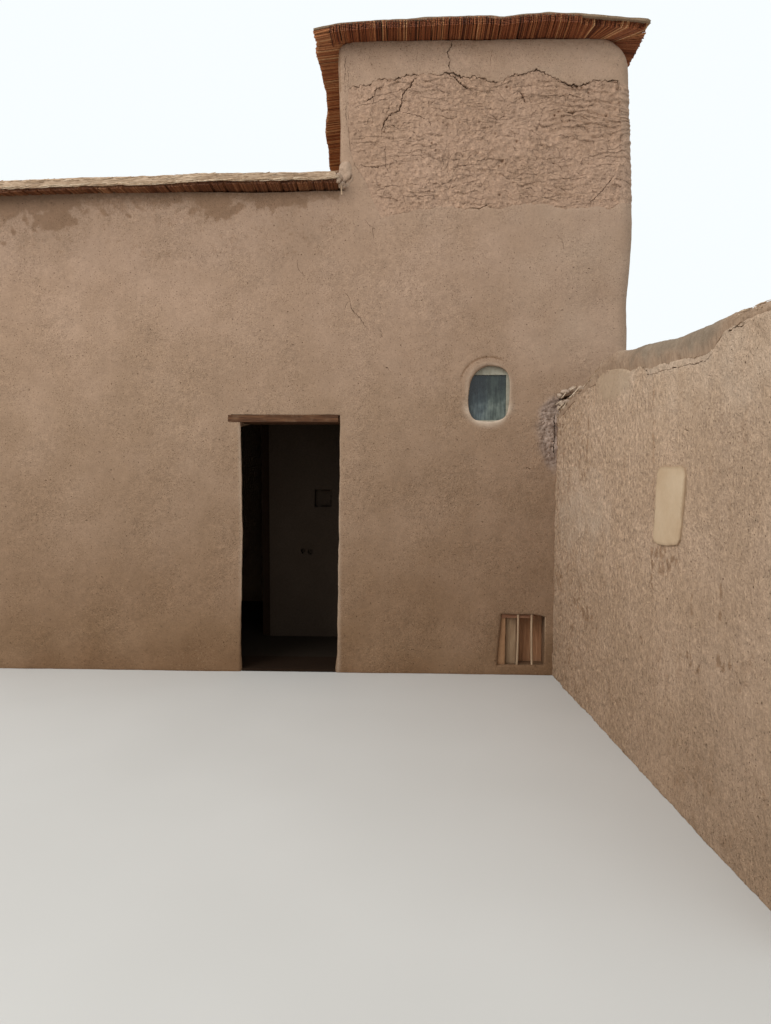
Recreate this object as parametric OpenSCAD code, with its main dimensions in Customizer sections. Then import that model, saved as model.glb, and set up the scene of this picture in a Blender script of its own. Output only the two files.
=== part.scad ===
/* [Wing] */
// Length of the low wing along the front, left of the tower
wing_w = 3190; // [2400:10:4200]
// Height of the wing walls up to the reed layer
wing_h = 3630; // [3000:10:3900]
// Depth of the house from front to back
house_d = 3200; // [3000:10:4200]
// Thickness of the mud walls
wall_t = 380; // [300:10:450]

/* [Tower] */
// Width of the tower along the front
tower_w = 2155; // [2100:5:2600]
// Height of the tower walls up to the reed layer
tower_h = 4700; // [4400:10:5200]

/* [Doorway] */
// Clear width of the doorway
door_w = 750; // [600:10:900]
// Clear height of the doorway
door_h = 1925; // [1800:5:2000]
// Thickness of the lintel planks over a doorway
lintel_h = 52; // [40:1:80]
// Bearing of the door lintel left of the doorway
lintel_bear_l = 90; // [60:5:150]
// Bearing of the door lintel right of the doorway
lintel_bear_r = 130; // [60:5:200]
// How far the left reveal opens out towards the inside
jamb_splay = 100; // [0:10:140]

/* [Screen wall behind the doorway] */
// Distance of the screen wall behind the front face
screen_y = 1100; // [900:10:1150]
// Thickness of the screen wall
screen_t = 200; // [120:10:200]
// Length of the screen wall from the tower side
screen_w = 740; // [600:10:900]
// Width of the post at its free end
post_w = 75; // [60:5:100]

/* [Inner doorway into the tower room] */
// Distance of the inner doorway behind the front face
inner_y = 1500; // [1450:10:1600]
// Width of the inner doorway
inner_w = 700; // [600:10:800]

/* [Window] */
// Window centre, measured from the left edge of the tower
win_x = 1132; // [900:1:1300]
// Height of the window centre above ground
win_z = 2130; // [2100:1:2200]
// Width of the round-ended window opening
win_w = 318; // [280:1:340]
// Height of the round-ended window opening
win_hh = 448; // [400:1:480]
// Depth of the opening in front of the window frame
win_rec = 45; // [35:1:120]
// Height of the window frame's centre above ground
frame_z = 2112; // [2105:1:2125]
// Outer width of the square window frame
frame_w = 360; // [345:1:370]
// Outer height of the square window frame
frame_h = 500; // [490:1:520]
// Depth of the window frame
frame_d = 40; // [30:1:50]
// Middle of the window frame from the tower's left edge
frame_x = 1120; // [1110:1:1132]
// Width of the frame's stiles
stile_w = 30; // [20:1:40]
// Height of the frame's rails
rail_h = 80; // [40:1:90]

/* [Low barred recess] */
// Left side of the recess, measured from the left edge of the tower
niche_x = 1222; // [1150:1:1260]
// Width of the recess
niche_w = 363; // [300:1:380]
// How far the top of the recess's left side stands in from its foot
niche_lean = 33; // [0:1:40]
// Height of the recess floor above ground
niche_z = 63; // [50:1:100]
// Height of the recess
niche_h = 404; // [350:1:420]
// Depth of the recess in front of its back board
niche_d = 160; // [120:1:200]
// Thickness of the back board
board_t = 25; // [18:1:30]

/* [Yard wall] */
// Distance of the yard wall's inner face from the left edge of the tower
yard_x = 1645; // [1620:1:1660]
// Length of the yard wall
yard_len = 3300; // [2600:10:4200]
// Thickness of the yard wall
yard_t = 400; // [300:10:420]
// Angle by which the yard wall opens outwards
yard_a = 4.11; // [0:0.01:8]
// Height of the yard wall with its cap, well away from the house
yard_h = 2220; // [1900:10:2400]
// Height of the rounded cap
cap_h = 120; // [80:5:160]

/* [Roofs] */
// Thickness of the reed layer over the walls
reed_t = 50; // [30:1:80]
// Overhang of the reeds in front of the tower
ov_front = 180; // [120:5:240]
// Overhang of the reeds on the tower's right side
ov_right = 60; // [40:5:200]
// Overhang of the reeds at the front end of the tower's left side
ov_left_front = 175; // [120:5:220]
// Overhang of the reeds at the back end of the tower's left side
ov_left_back = 310; // [220:5:340]
// Overhang of the reeds along the wing
ov_wing = 120; // [80:5:160]
// Thickness of the mud laid over the reeds
mud_t = 80; // [50:5:120]
// Diameter of the wing's roof poles
pole_d = 110; // [80:5:140]
// Diameter of the tower's roof poles
tower_pole_d = 90; // [70:5:110]
// Width of the ledge that the poles bear on
ledge = 120; // [80:5:140]

/* [Floor] */
// Thickness of the beaten mud floor
floor_t = 20; // [15:1:40]

/* [Hidden] */
$fn = 48;

mud = [0.63, 0.52, 0.44];
mud_dark = [0.49, 0.39, 0.29];
reed = [0.48, 0.31, 0.19];
straw = [0.72, 0.62, 0.49];
timber = [0.42, 0.25, 0.15];
pale = [0.74, 0.64, 0.52];

// Bounds of the whole model, so that its origin is the centre of its footprint
end_x = yard_x + yard_len * sin(yard_a) + yard_t * cos(yard_a);
x_lo = -wing_w;
x_hi = max(tower_w + ov_right, end_x);
y_lo = -yard_len * cos(yard_a);
y_hi = house_d + ov_front;
mid_x = (x_lo + x_hi) / 2;
mid_y = (y_lo + y_hi) / 2;

split_lo = 1800;                 // tower front: base up to here
split_hi = 2520;                 // tower front: middle part up to here
back_y = house_d - wall_t;       // inner face of the back walls
corner_r = 240;                  // rounded top right edge of the tower

module place() translate([-mid_x, -mid_y, 0]) children();

// A block between two corners
module block(a, b) translate(a) cube([b[0] - a[0], b[1] - a[1], b[2] - a[2]]);

// A slot with round ends, upright, running along Y
module round_slot(w, h, y0, y1) {
    translate([0, y1, 0]) rotate([90, 0, 0]) linear_extrude(y1 - y0) {
        translate([0, (h - w) / 2]) circle(d = w, $fn = 96);
        translate([0, -(h - w) / 2]) circle(d = w, $fn = 96);
        square([w, h - w], center = true);
    }
}

// ---- wing walls ----
module wing_front_wall() {
    color(mud) place() difference() {
        union() {
            block([-wing_w, 0, 0], [-door_w, wall_t - ledge, wing_h]);
            block([-wing_w, 0, 0], [-wing_w + wall_t, wall_t, wing_h]);
            block([-wing_w, 0, 0], [-door_w, wall_t, wing_h - pole_d]);
        }
        block([-door_w - lintel_bear_l, -1, door_h], [-door_w + 1, wall_t + 1, door_h + lintel_h]);
        // the reveal opens out behind the front edge
        translate([0, 0, -1]) linear_extrude(door_h + 1.5)
            polygon([[-door_w, 25], [-door_w - jamb_splay, wall_t], [-door_w - jamb_splay, wall_t + 1],
                     [-door_w + 1, wall_t + 1], [-door_w + 1, 25]]);
    }
}

module wall_over_doorway() {
    color(mud) place() union() {
        block([-door_w, 0, door_h + lintel_h], [0, wall_t - ledge, wing_h]);
        block([-door_w, 0, door_h + lintel_h], [0, wall_t, wing_h - pole_d]);
    }
}

module door_lintel() {
    color(timber) place() union() {
        block([-door_w - lintel_bear_l, 0, door_h], [0, wall_t, door_h + lintel_h]);
        block([-1, 30, door_h], [lintel_bear_r, wall_t, door_h + lintel_h]);
    }
}

module door_threshold() {
    color(mud_dark) place() union() {
        block([-door_w, 0, 0], [0, wall_t, floor_t]);
        linear_extrude(floor_t)
            polygon([[-door_w, 25], [-door_w - jamb_splay, wall_t], [-door_w + 1, wall_t], [-door_w + 1, 25]]);
    }
}

module wing_back_wall() {
    color(mud) place() union() {
        block([-wing_w, back_y + ledge, 0], [0, house_d, wing_h]);
        block([-wing_w, back_y, 0], [-wing_w + wall_t, house_d, wing_h]);
        block([-wing_w, back_y, 0], [0, house_d, wing_h - pole_d]);
    }
}

module wing_end_wall() {
    color(mud) place() block([-wing_w, wall_t, 0], [-wing_w + wall_t, back_y, wing_h]);
}

// ---- tower walls ----
module tower_front_wall_base() {
    color(mud) place() difference() {
        block([0, 0, 0], [tower_w, wall_t, split_lo]);
        translate([0, niche_d + board_t, 0]) rotate([90, 0, 0])
            linear_extrude(niche_d + board_t + 1) niche_outline();
    }
}

// Outline of the low barred recess: its left side leans and its top right corner
// is cut across
module niche_outline()
    polygon([[niche_x, niche_z], [niche_x + niche_w, niche_z],
             [niche_x + niche_w, niche_z + niche_h - 20],
             [niche_x + niche_w - 80, niche_z + niche_h],
             [niche_x + niche_lean, niche_z + niche_h]]);

module tower_front_wall_middle() {
    color(mud) place() difference() {
        block([0, 0, split_lo], [tower_w, wall_t, split_hi]);
        translate([win_x, 0, win_z]) round_slot(win_w, win_hh, -1, win_rec + 1);
        block([frame_x - frame_w / 2, win_rec, frame_z - frame_h / 2],
              [frame_x + frame_w / 2, wall_t + 1, frame_z + frame_h / 2]);
        block([-1, 30, door_h], [lintel_bear_r, wall_t + 1, door_h + lintel_h]);
    }
}

module tower_front_wall_upper() {
    color(mud) place() translate([0, wall_t, 0]) rotate([90, 0, 0]) linear_extrude(wall_t)
        union() {
            translate([0, split_hi]) square([tower_w, tower_h - corner_r - split_hi]);
            translate([0, split_hi]) square([tower_w - corner_r, tower_h - split_hi]);
            translate([tower_w - corner_r, tower_h - corner_r]) circle(r = corner_r, $fn = 96);
        }
}

module tower_right_wall() {
    x0 = tower_w - wall_t;
    color(mud) place() translate([0, back_y, 0]) rotate([90, 0, 0]) linear_extrude(back_y - wall_t)
        union() {
            translate([x0, 0]) square([wall_t, tower_h - corner_r]);
            translate([x0, 0]) square([wall_t - corner_r, tower_h - tower_pole_d]);
            translate([x0 + ledge, 0]) square([wall_t - ledge - corner_r, tower_h]);
            translate([tower_w - corner_r, tower_h - corner_r]) intersection() {
                circle(r = corner_r, $fn = 96);
                square(corner_r);
            }
        }
}

module tower_back_wall() {
    color(mud) place() translate([0, house_d, 0]) rotate([90, 0, 0]) linear_extrude(wall_t)
        union() {
            square([tower_w, tower_h - corner_r]);
            square([tower_w - corner_r, tower_h]);
            translate([tower_w - corner_r, tower_h - corner_r]) circle(r = corner_r, $fn = 96);
        }
}

// The side wall between wing and tower is split beside and over its doorway
module tower_side_wall_front() {
    color(mud) place() block([0, wall_t, 0], [wall_t, inner_y, door_h]);
}

module tower_side_wall_rear() {
    color(mud) place() block([0, inner_y + inner_w, 0], [wall_t, back_y, door_h]);
}

module tower_side_wall_upper() {
    color(mud) place() difference() {
        union() {
            block([0, wall_t, door_h], [wall_t - ledge, back_y, tower_h]);
            block([0, wall_t, door_h], [wall_t, back_y, tower_h - tower_pole_d]);
        }
        block([-1, inner_y - 120, door_h - 1], [wall_t + 1, inner_y + inner_w + 120, door_h + lintel_h]);
    }
}

module inner_door_lintel() {
    color(timber) place()
        block([0, inner_y - 120, door_h], [wall_t, inner_y + inner_w + 120, door_h + lintel_h]);
}

// ---- inside ----
module screen_wall() {
    color(mud) place()
        block([-screen_w, screen_y, floor_t], [0, screen_y + screen_t, wing_h - pole_d]);
}

module screen_wall_post() {
    color(timber) place()
        block([-screen_w - post_w, screen_y + 40, floor_t],
              [-screen_w, screen_y + screen_t - 40, wing_h - pole_d]);
}

module wing_floor() {
    color(mud_dark) place() block([-wing_w + wall_t, wall_t, 0], [0, back_y, floor_t]);
}

module tower_floor() {
    color(mud_dark) place() union() {
        block([wall_t, wall_t, 0], [tower_w - wall_t, back_y, floor_t]);
        block([0, inner_y, 0], [wall_t, inner_y + inner_w, floor_t]);
    }
}

// ---- roofs ----
wing_poles = 7;
tower_poles = 7;
// slightly different pole diameters, none thicker than its ledge allows
function pole_k(i) = 0.9 + 0.1 * abs(sin(i * 73));

module wing_roof_poles() {
    step = (wing_w - wall_t) / wing_poles;
    color(timber) place() for (i = [0 : wing_poles - 1])
        translate([-wing_w + wall_t + step * (i + 0.5), wall_t - ledge, wing_h - pole_d * pole_k(i) / 2])
            rotate([-90, 0, 0]) cylinder(d = pole_d * pole_k(i), h = back_y - wall_t + 2 * ledge);
}

module wing_reed_mat() {
    color(reed) place()
        block([-wing_w, wall_t - ledge, wing_h], [0, back_y + ledge, wing_h + reed_t]);
}

module wing_eave_front() {
    color(straw) place()
        block([-wing_w, -ov_wing, wing_h], [0, wall_t - ledge, wing_h + reed_t]);
}

module wing_eave_back() {
    color(straw) place()
        block([-wing_w, back_y + ledge, wing_h], [0, house_d + ov_wing, wing_h + reed_t]);
}

// Flat mud roof of the wing with bevelled front and back edges
module wing_roof_mud() {
    z0 = wing_h + reed_t;
    color(mud) place() rotate([90, 0, 90]) translate([0, 0, -wing_w]) linear_extrude(wing_w)
        polygon([[-ov_wing + 10, z0], [house_d + ov_wing - 10, z0],
                 [house_d + ov_wing - 20, z0 + mud_t * 0.4], [house_d - 60, z0 + mud_t],
                 [60, z0 + mud_t], [-ov_wing + 20, z0 + mud_t * 0.4]]);
}

module tower_roof_poles() {
    step = (back_y - wall_t) / tower_poles;
    color(timber) place() for (i = [0 : tower_poles - 1])
        translate([wall_t - ledge, wall_t + step * (i + 0.5), tower_h - tower_pole_d * pole_k(i + 3) / 2])
            rotate([0, 90, 0])
                cylinder(d = tower_pole_d * pole_k(i + 3), h = tower_w - 2 * wall_t + 2 * ledge);
}

module tower_reed_mat() {
    color(reed) place()
        block([wall_t - ledge, wall_t - ledge, tower_h],
              [tower_w - wall_t + ledge, back_y + ledge, tower_h + reed_t]);
}

// The reed fringe lies on the wall heads; its left side flares towards the back
function left_x(y) = -ov_left_front
    - (ov_left_back - ov_left_front) * (y + ov_front) / (house_d + 2 * ov_front);

module reed_plan(points) translate([0, 0, tower_h]) linear_extrude(reed_t) polygon(points);

module tower_eave_front() {
    y1 = wall_t - ledge;
    color(reed) place()
        reed_plan([[left_x(-ov_front), -ov_front], [tower_w + ov_right, -ov_front],
                   [tower_w + ov_right, y1], [left_x(y1), y1]]);
}

module tower_eave_back() {
    y0 = back_y + ledge;
    y1 = house_d + ov_front;
    color(reed) place()
        reed_plan([[left_x(y0), y0], [tower_w + ov_right, y0],
                   [tower_w + ov_right, y1], [left_x(y1), y1]]);
}

module tower_eave_left() {
    y0 = wall_t - ledge;
    y1 = back_y + ledge;
    color(reed) place()
        reed_plan([[left_x(y0), y0], [wall_t - ledge, y0], [wall_t - ledge, y1], [left_x(y1), y1]]);
}

module tower_eave_right() {
    y0 = wall_t - ledge;
    y1 = back_y + ledge;
    color(reed) place()
        reed_plan([[tower_w - wall_t + ledge, y0], [tower_w + ov_right, y0],
                   [tower_w + ov_right, y1], [tower_w - wall_t + ledge, y1]]);
}

// Low mud roof of the tower: three layers, each set back from the one below
module mud_layer(inset, z, t) translate([0, 0, z]) linear_extrude(t)
    polygon([[left_x(-ov_front + inset) + inset, -ov_front + inset],
             [tower_w + ov_right - inset, -ov_front + inset],
             [tower_w + ov_right - inset, house_d + ov_front - inset],
             [left_x(house_d + ov_front - inset) + inset, house_d + ov_front - inset]]);

module tower_roof_mud() {
    z0 = tower_h + reed_t;
    color(mud) place() union() {
        mud_layer(15, z0, mud_t * 0.3);
        mud_layer(90, z0, mud_t * 0.65);
        mud_layer(200, z0, mud_t);
    }
}

// ---- window ----
module window_frame() {
    color(pale) place() difference() {
        block([frame_x - frame_w / 2, win_rec, frame_z - frame_h / 2],
              [frame_x + frame_w / 2, win_rec + frame_d, frame_z + frame_h / 2]);
        block([frame_x - frame_w / 2 + stile_w, win_rec - 1, frame_z - frame_h / 2 + rail_h],
              [frame_x + frame_w / 2 - stile_w, win_rec + frame_d + 1, frame_z + frame_h / 2 - rail_h]);
    }
}

module window_glass() {
    color([0.4, 0.47, 0.47, 0.6]) place()
        block([frame_x - frame_w / 2 + stile_w, win_rec + frame_d / 2 - 3, frame_z - frame_h / 2 + rail_h],
              [frame_x + frame_w / 2 - stile_w, win_rec + frame_d / 2 + 3, frame_z + frame_h / 2 - rail_h]);
}

// ---- low barred recess ----
module niche_lintel() {
    color(timber) place()
        block([niche_x + niche_lean, 12, niche_z + niche_h - 32],
              [niche_x + niche_w - 82, niche_d, niche_z + niche_h]);
}

module niche_back_board() {
    color(timber) place() translate([0, niche_d + board_t, 0]) rotate([90, 0, 0])
        linear_extrude(board_t) niche_outline();
}

// ---- yard wall ----
// Everything on the yard wall is drawn with its length along X and its inner
// face at Y = 0, then turned so that it runs forward from the house front.
module on_yard() place() translate([yard_x, 0, 0]) rotate([0, 0, -90 + yard_a]) children();

// Height of the cap's foot along the wall: low where it meets the house
yard_rows = [[0, -340], [130, -300], [450, -228], [800, -150], [1150, -65], [1500, -82],
             [2300, -120], [2900, -132]];
yard_line = concat(yard_rows, [[yard_len, -140]]);

module yard_wall() {
    color(mud) difference() {
        on_yard() translate([0, yard_t, 0]) rotate([90, 0, 0]) linear_extrude(yard_t)
            polygon(concat([[0, 0]], [for (r = yard_line) [r[0], yard_h + r[1]]], [[yard_len, 0]]));
        // it ends flat against the house front
        place() block([yard_x - 200, 0, -1], [yard_x + 700, 200, yard_h + 200]);
    }
}

// One length of cap between two half-round ends
module cap_slice(s, z) translate([s, yard_t / 2, z]) rotate([90, 0, 90]) linear_extrude(0.01)
    intersection() {
        resize([yard_t, cap_h * 2]) circle(d = yard_t, $fn = 24);
        translate([-yard_t / 2, 0]) square([yard_t, cap_h * 1.1]);
    }

module yard_wall_cap() {
    rows = [yard_line[0], yard_line[1], yard_line[3], yard_line[4], yard_line[6], yard_line[8]];
    color(mud) difference() {
        on_yard() union() for (i = [0 : len(rows) - 2]) hull() {
            cap_slice(rows[i][0], yard_h + rows[i][1]);
            cap_slice(rows[i + 1][0] - 0.01, yard_h + rows[i + 1][1]);
        }
        place() block([yard_x - 200, 0, -1], [yard_x + 700, 200, yard_h + 400]);
    }
}

module smooth_wall_panel() {
    w = 320; h = 385; r = 45; t = 12;
    color(pale) on_yard() translate([1885, 0, 1215]) rotate([90, 0, 0]) linear_extrude(t) union() {
        translate([r, 0]) square([w - 2 * r, h]);
        translate([0, r]) square([w, h - 2 * r]);
        for (x = [r, w - r], z = [r, h - r]) translate([x, z]) circle(r = r);
    }
}

wing_front_wall();
wall_over_doorway();
door_lintel();
door_threshold();
tower_front_wall_base();
tower_front_wall_middle();
tower_front_wall_upper();
tower_right_wall();
tower_back_wall();
tower_side_wall_front();
tower_side_wall_rear();
tower_side_wall_upper();
inner_door_lintel();
wing_back_wall();
wing_end_wall();
screen_wall();
screen_wall_post();
wing_floor();
tower_floor();
wing_roof_poles();
wing_reed_mat();
wing_eave_front();
wing_eave_back();
wing_roof_mud();
tower_roof_poles();
tower_reed_mat();
tower_eave_front();
tower_eave_right();
tower_eave_back();
tower_eave_left();
tower_roof_mud();
window_frame();
window_glass();
niche_lintel();
niche_back_board();
yard_wall();
yard_wall_cap();
smooth_wall_panel();
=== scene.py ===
# Adobe house: low wing on the left, higher tower on the right, yard wall bonded to
# the front. All lengths in metres. House coordinates: u along the front from the
# tower's left edge, y from the front face into the house, z up.
import math

import bpy
import numpy as np
from mathutils import Matrix, Vector
from mathutils.geometry import delaunay_2d_cdt


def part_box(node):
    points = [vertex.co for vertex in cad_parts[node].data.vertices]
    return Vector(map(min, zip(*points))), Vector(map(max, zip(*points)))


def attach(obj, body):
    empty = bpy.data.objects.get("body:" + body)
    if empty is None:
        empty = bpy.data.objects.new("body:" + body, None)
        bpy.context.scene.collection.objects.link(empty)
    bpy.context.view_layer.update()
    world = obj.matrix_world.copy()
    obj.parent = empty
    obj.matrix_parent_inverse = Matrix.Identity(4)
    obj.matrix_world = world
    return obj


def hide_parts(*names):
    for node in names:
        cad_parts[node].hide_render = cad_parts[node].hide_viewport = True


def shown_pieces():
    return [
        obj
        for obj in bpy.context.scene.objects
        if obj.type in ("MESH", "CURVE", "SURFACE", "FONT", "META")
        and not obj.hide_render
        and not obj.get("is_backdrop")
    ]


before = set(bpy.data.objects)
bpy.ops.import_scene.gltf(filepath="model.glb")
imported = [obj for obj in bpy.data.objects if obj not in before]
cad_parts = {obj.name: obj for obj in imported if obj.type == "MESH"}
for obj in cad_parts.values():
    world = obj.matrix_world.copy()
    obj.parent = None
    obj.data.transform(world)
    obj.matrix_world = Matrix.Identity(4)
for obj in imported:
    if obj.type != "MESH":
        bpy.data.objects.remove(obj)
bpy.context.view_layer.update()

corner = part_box("tower_front_wall_base")[0]
OX, OY = float(corner.x), float(corner.y)
TALL = float(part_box("tower_front_wall_upper")[1].z)      # tower wall head
LOW = float(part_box("wing_front_wall")[1].z)              # wing wall head
WIDE = float(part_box("tower_front_wall_base")[1].x) - OX  # tower width
LEFT = float(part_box("wing_front_wall")[0].x) - OX        # wing's free end
DEEP = float(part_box("wing_back_wall")[1].y) - OY         # house depth
WALL = 0.38
YARD_X, YARD_A, YARD_LEN, YARD_T = 1.645, math.radians(4.11), 3.3, 0.4

# ------------------------------------------------------------------ camera
CAM = bpy.data.cameras.new("camera")
CAM.sensor_fit = "AUTO"
CAM.sensor_width = 36.0
CAM.lens = 740.0 / 1024.0 * 36.0
CAM.clip_start, CAM.clip_end = 0.05, 200.0
cam = bpy.data.objects.new("camera", CAM)
bpy.context.scene.collection.objects.link(cam)
yaw, pitch, roll = math.radians(1.97), math.radians(3.63), math.radians(0.17)
fwd = Vector((-math.sin(yaw) * math.cos(pitch), math.cos(yaw) * math.cos(pitch), -math.sin(pitch)))
right = Vector((math.cos(yaw), math.sin(yaw), 0.0))
up = right.cross(fwd)
right2 = math.cos(roll) * right + math.sin(roll) * up
up2 = -math.sin(roll) * right + math.cos(roll) * up
m = Matrix((right2, up2, -fwd)).transposed().to_4x4()
m.translation = Vector((0.555 + OX, -5.62 + OY, 1.60))
cam.matrix_world = m
bpy.context.scene.camera = cam

# ------------------------------------------------------------------ noise
GRAD = np.array([[1, 1, 0], [-1, 1, 0], [1, -1, 0], [-1, -1, 0], [1, 0, 1], [-1, 0, 1],
                 [1, 0, -1], [-1, 0, -1], [0, 1, 1], [0, -1, 1], [0, 1, -1], [0, -1, -1]], float)


def scramble(i, seed):
    n = (i[..., 0] * 73856093) ^ (i[..., 1] * 19349663) ^ (i[..., 2] * 83492791) ^ (seed * 40503 + 977)
    n &= 0xFFFFFFFF
    n = ((n ^ (n >> 15)) * 2246822519) & 0xFFFFFFFF
    n = ((n ^ (n >> 13)) * 3266489917) & 0xFFFFFFFF
    return n ^ (n >> 16)


def noise(p, scale, seed=0):
    """Gradient noise, about -1 to 1. scale is cycles per metre, one number or three."""
    q = np.asarray(p, float) * np.asarray(scale, float)
    i = np.floor(q).astype(np.int64)
    f = q - i
    w = f * f * f * (f * (f * 6 - 15) + 10)
    out = np.zeros(len(q))
    for a in (0, 1):
        for b in (0, 1):
            for c in (0, 1):
                o = np.array([a, b, c])
                g = GRAD[scramble(i + o, seed) % 12]
                t = ((f - o) * g).sum(1)
                k = (w[:, 0] if a else 1 - w[:, 0]) * (w[:, 1] if b else 1 - w[:, 1]) * (w[:, 2] if c else 1 - w[:, 2])
                out += t * k
    return out * 1.2


def cells(p, scale, seed=0):
    """Distance to the nearest and second nearest scattered point, in cells."""
    q = np.asarray(p, float) * np.asarray(scale, float)
    i = np.floor(q).astype(np.int64)
    f = q - i
    d1 = np.full(len(q), 9.0)
    d2 = np.full(len(q), 9.0)
    for a in (-1, 0, 1):
        for b in (-1, 0, 1):
            for c in (-1, 0, 1):
                o = np.array([a, b, c])
                j = i + o
                r = np.stack([scramble(j, seed + k) % 10007 / 10007.0 for k in (1, 2, 3)], 1)
                d = np.linalg.norm(o + r - f, axis=1)
                d2 = np.minimum(d2, np.maximum(d1, d))
                d1 = np.minimum(d1, d)
    return d1, d2


def smooth(x, a, b):
    t = np.clip((np.asarray(x, float) - a) / (b - a), 0, 1)
    return t * t * (3 - 2 * t)


def flat3(s, z, seed=0.0):
    return np.stack([s, np.full(len(s), 3.7 + seed), z], 1)


# ------------------------------------------------------------------ meshes
def make(name, verts, polys, material, attrs=None, sharp=40, replaces=(), slot=None, index=None, shift=True):
    v = np.asarray(verts, np.float64)
    if shift:
        v = v + np.array([OX, OY, 0.0])
    polys = [np.asarray(p, np.int32) for p in polys if len(p)]
    loops = np.concatenate([p.ravel() for p in polys]).astype(np.int32)
    total = np.concatenate([np.full(len(p), p.shape[1]) for p in polys])
    start = np.concatenate([[0], np.cumsum(total)[:-1]]).astype(np.int32)
    me = bpy.data.meshes.new(name)
    me.vertices.add(len(v))
    me.vertices.foreach_set("co", v.astype(np.float32).ravel())
    me.loops.add(len(loops))
    me.loops.foreach_set("vertex_index", loops)
    me.polygons.add(len(total))
    me.polygons.foreach_set("loop_start", start)
    me.update(calc_edges=True)
    me.polygons.foreach_set("use_smooth", np.ones(len(total), bool))
    mats = material if isinstance(material, (list, tuple)) else [material]
    for mt in mats:
        me.materials.append(mt)
    if index is not None:
        me.polygons.foreach_set("material_index", np.asarray(index, np.int32))
    for key, val in (attrs or {}).items():
        val = np.asarray(val, np.float32)
        kind = "FLOAT_VECTOR" if val.ndim == 2 else "FLOAT"
        a = me.attributes.new(key, kind, "POINT")
        a.data.foreach_set("vector" if val.ndim == 2 else "value", val.ravel())
    if me.validate():
        print("mesh corrected:", name)
    if sharp:
        me.set_sharp_from_angle(angle=math.radians(sharp))
    ob = bpy.data.objects.new(name, me)
    bpy.context.scene.collection.objects.link(ob)
    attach(ob, "root")
    if replaces:
        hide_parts(*replaces)
    return ob


def area2(P):
    x, z = P[:, 0], P[:, 1]
    return 0.5 * np.sum(x * np.roll(z, -1) - np.roll(x, -1) * z)


def turned(P, R, ccw):
    """The loop in the wanted direction; R holds one value per edge."""
    if (area2(P) > 0) == ccw:
        return P, R
    P2 = P[::-1]
    R2 = np.roll(R[::-1], -1)
    return P2.copy(), R2.copy()


def subdivide(C, R, step):
    """Points along a polygon with the wall on its left. R is the lip radius of each edge."""
    C = np.asarray(C, float)
    n = len(C)
    R = np.asarray(R, float)

    def turn(a, b, c):
        d, e = b - a, c - b
        return (d[0] * e[1] - d[1] * e[0]) / (np.linalg.norm(d) * np.linalg.norm(e) + 1e-12)

    P, Q = [], []
    for i in range(n):
        a, b = C[i], C[(i + 1) % n]
        L = np.linalg.norm(b - a)
        t = (b - a) / L
        r = R[i]
        ca = max(r, R[i - 1]) * 1.04 if turn(C[i - 1], a, b) > 0.45 else 0.0
        cb = max(r, R[(i + 1) % n]) * 1.04 if turn(a, b, C[(i + 2) % n]) > 0.45 else 0.0
        P.append(a)
        Q.append(r)
        if L <= ca + cb + 1e-6:
            continue
        k = max(1, int(round((L - ca - cb) / step)))
        for j in range(0 if ca else 1, k + (1 if cb else 0)):
            P.append(a + t * (ca + (L - ca - cb) * j / k))
            Q.append(r)
    return np.array(P), np.array(Q)


def edge_normals(P):
    d = np.roll(P, -1, 0) - P
    d /= np.linalg.norm(d, axis=1, keepdims=True) + 1e-12
    return np.stack([-d[:, 1], d[:, 0]], 1)


def corner_normals(P):
    n2 = edge_normals(P)
    n1 = np.roll(n2, 1, 0)
    m = n1 + n2
    return m / (np.linalg.norm(m, axis=1, keepdims=True) + 1e-9)


def inset(P, R, k):
    """Each point moved into the wall by k times the radii of its two edges."""
    n2 = edge_normals(P)
    n1 = np.roll(n2, 1, 0)
    r1, r2 = np.roll(R, 1) * k, R * k
    m = n1 + n2
    m /= np.linalg.norm(m, axis=1, keepdims=True) + 1e-9
    c = np.clip((m * n1).sum(1), 0.75, 1)
    avg = P + m * ((r1 + r2) / 2 / c)[:, None]
    det = n1[:, 0] * n2[:, 1] - n1[:, 1] * n2[:, 0]
    ok = np.abs(det) > 0.4
    safe = np.where(ok, det, 1.0)
    x = (r1 * n2[:, 1] - r2 * n1[:, 1]) / safe
    z = (r2 * n1[:, 0] - r1 * n2[:, 0]) / safe
    return np.where(ok[:, None], P + np.stack([x, z], 1), avg)


def inside(points, poly):
    order = np.argsort(points[:, 1], kind="stable")
    zs, xs = points[order, 1], points[order, 0]
    c = np.zeros(len(points), bool)
    Q = np.roll(poly, -1, 0)
    for (x0, z0), (x1, z1) in zip(poly, Q):
        if z0 == z1:
            continue
        lo, hi = (z0, z1) if z0 < z1 else (z1, z0)
        a, b = np.searchsorted(zs, lo, "left"), np.searchsorted(zs, hi, "left")
        if a < b:
            x = x0 + (zs[a:b] - z0) * (x1 - x0) / (z1 - z0)
            c[a:b] ^= xs[a:b] < x
    out = np.zeros(len(points), bool)
    out[order] = c
    return out


def hexgrid(lo, hi, h, seed, jitter=0.16):
    r = np.random.default_rng(seed)
    dz = h * 0.8660254
    rows = int((hi[1] - lo[1]) / dz) + 1
    cols = int((hi[0] - lo[0]) / h) + 2
    x = lo[0] + np.arange(cols) * h
    z = lo[1] + np.arange(rows) * dz
    X, Z = np.meshgrid(x, z)
    X = X + (np.arange(rows) % 2)[:, None] * h / 2
    P = np.stack([X.ravel(), Z.ravel()], 1)
    return P + r.uniform(-jitter, jitter, P.shape) * h


def keys(P, cell):
    k = np.floor(P / cell).astype(np.int64)
    return k[:, 0] * 1000003 + k[:, 1]


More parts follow.
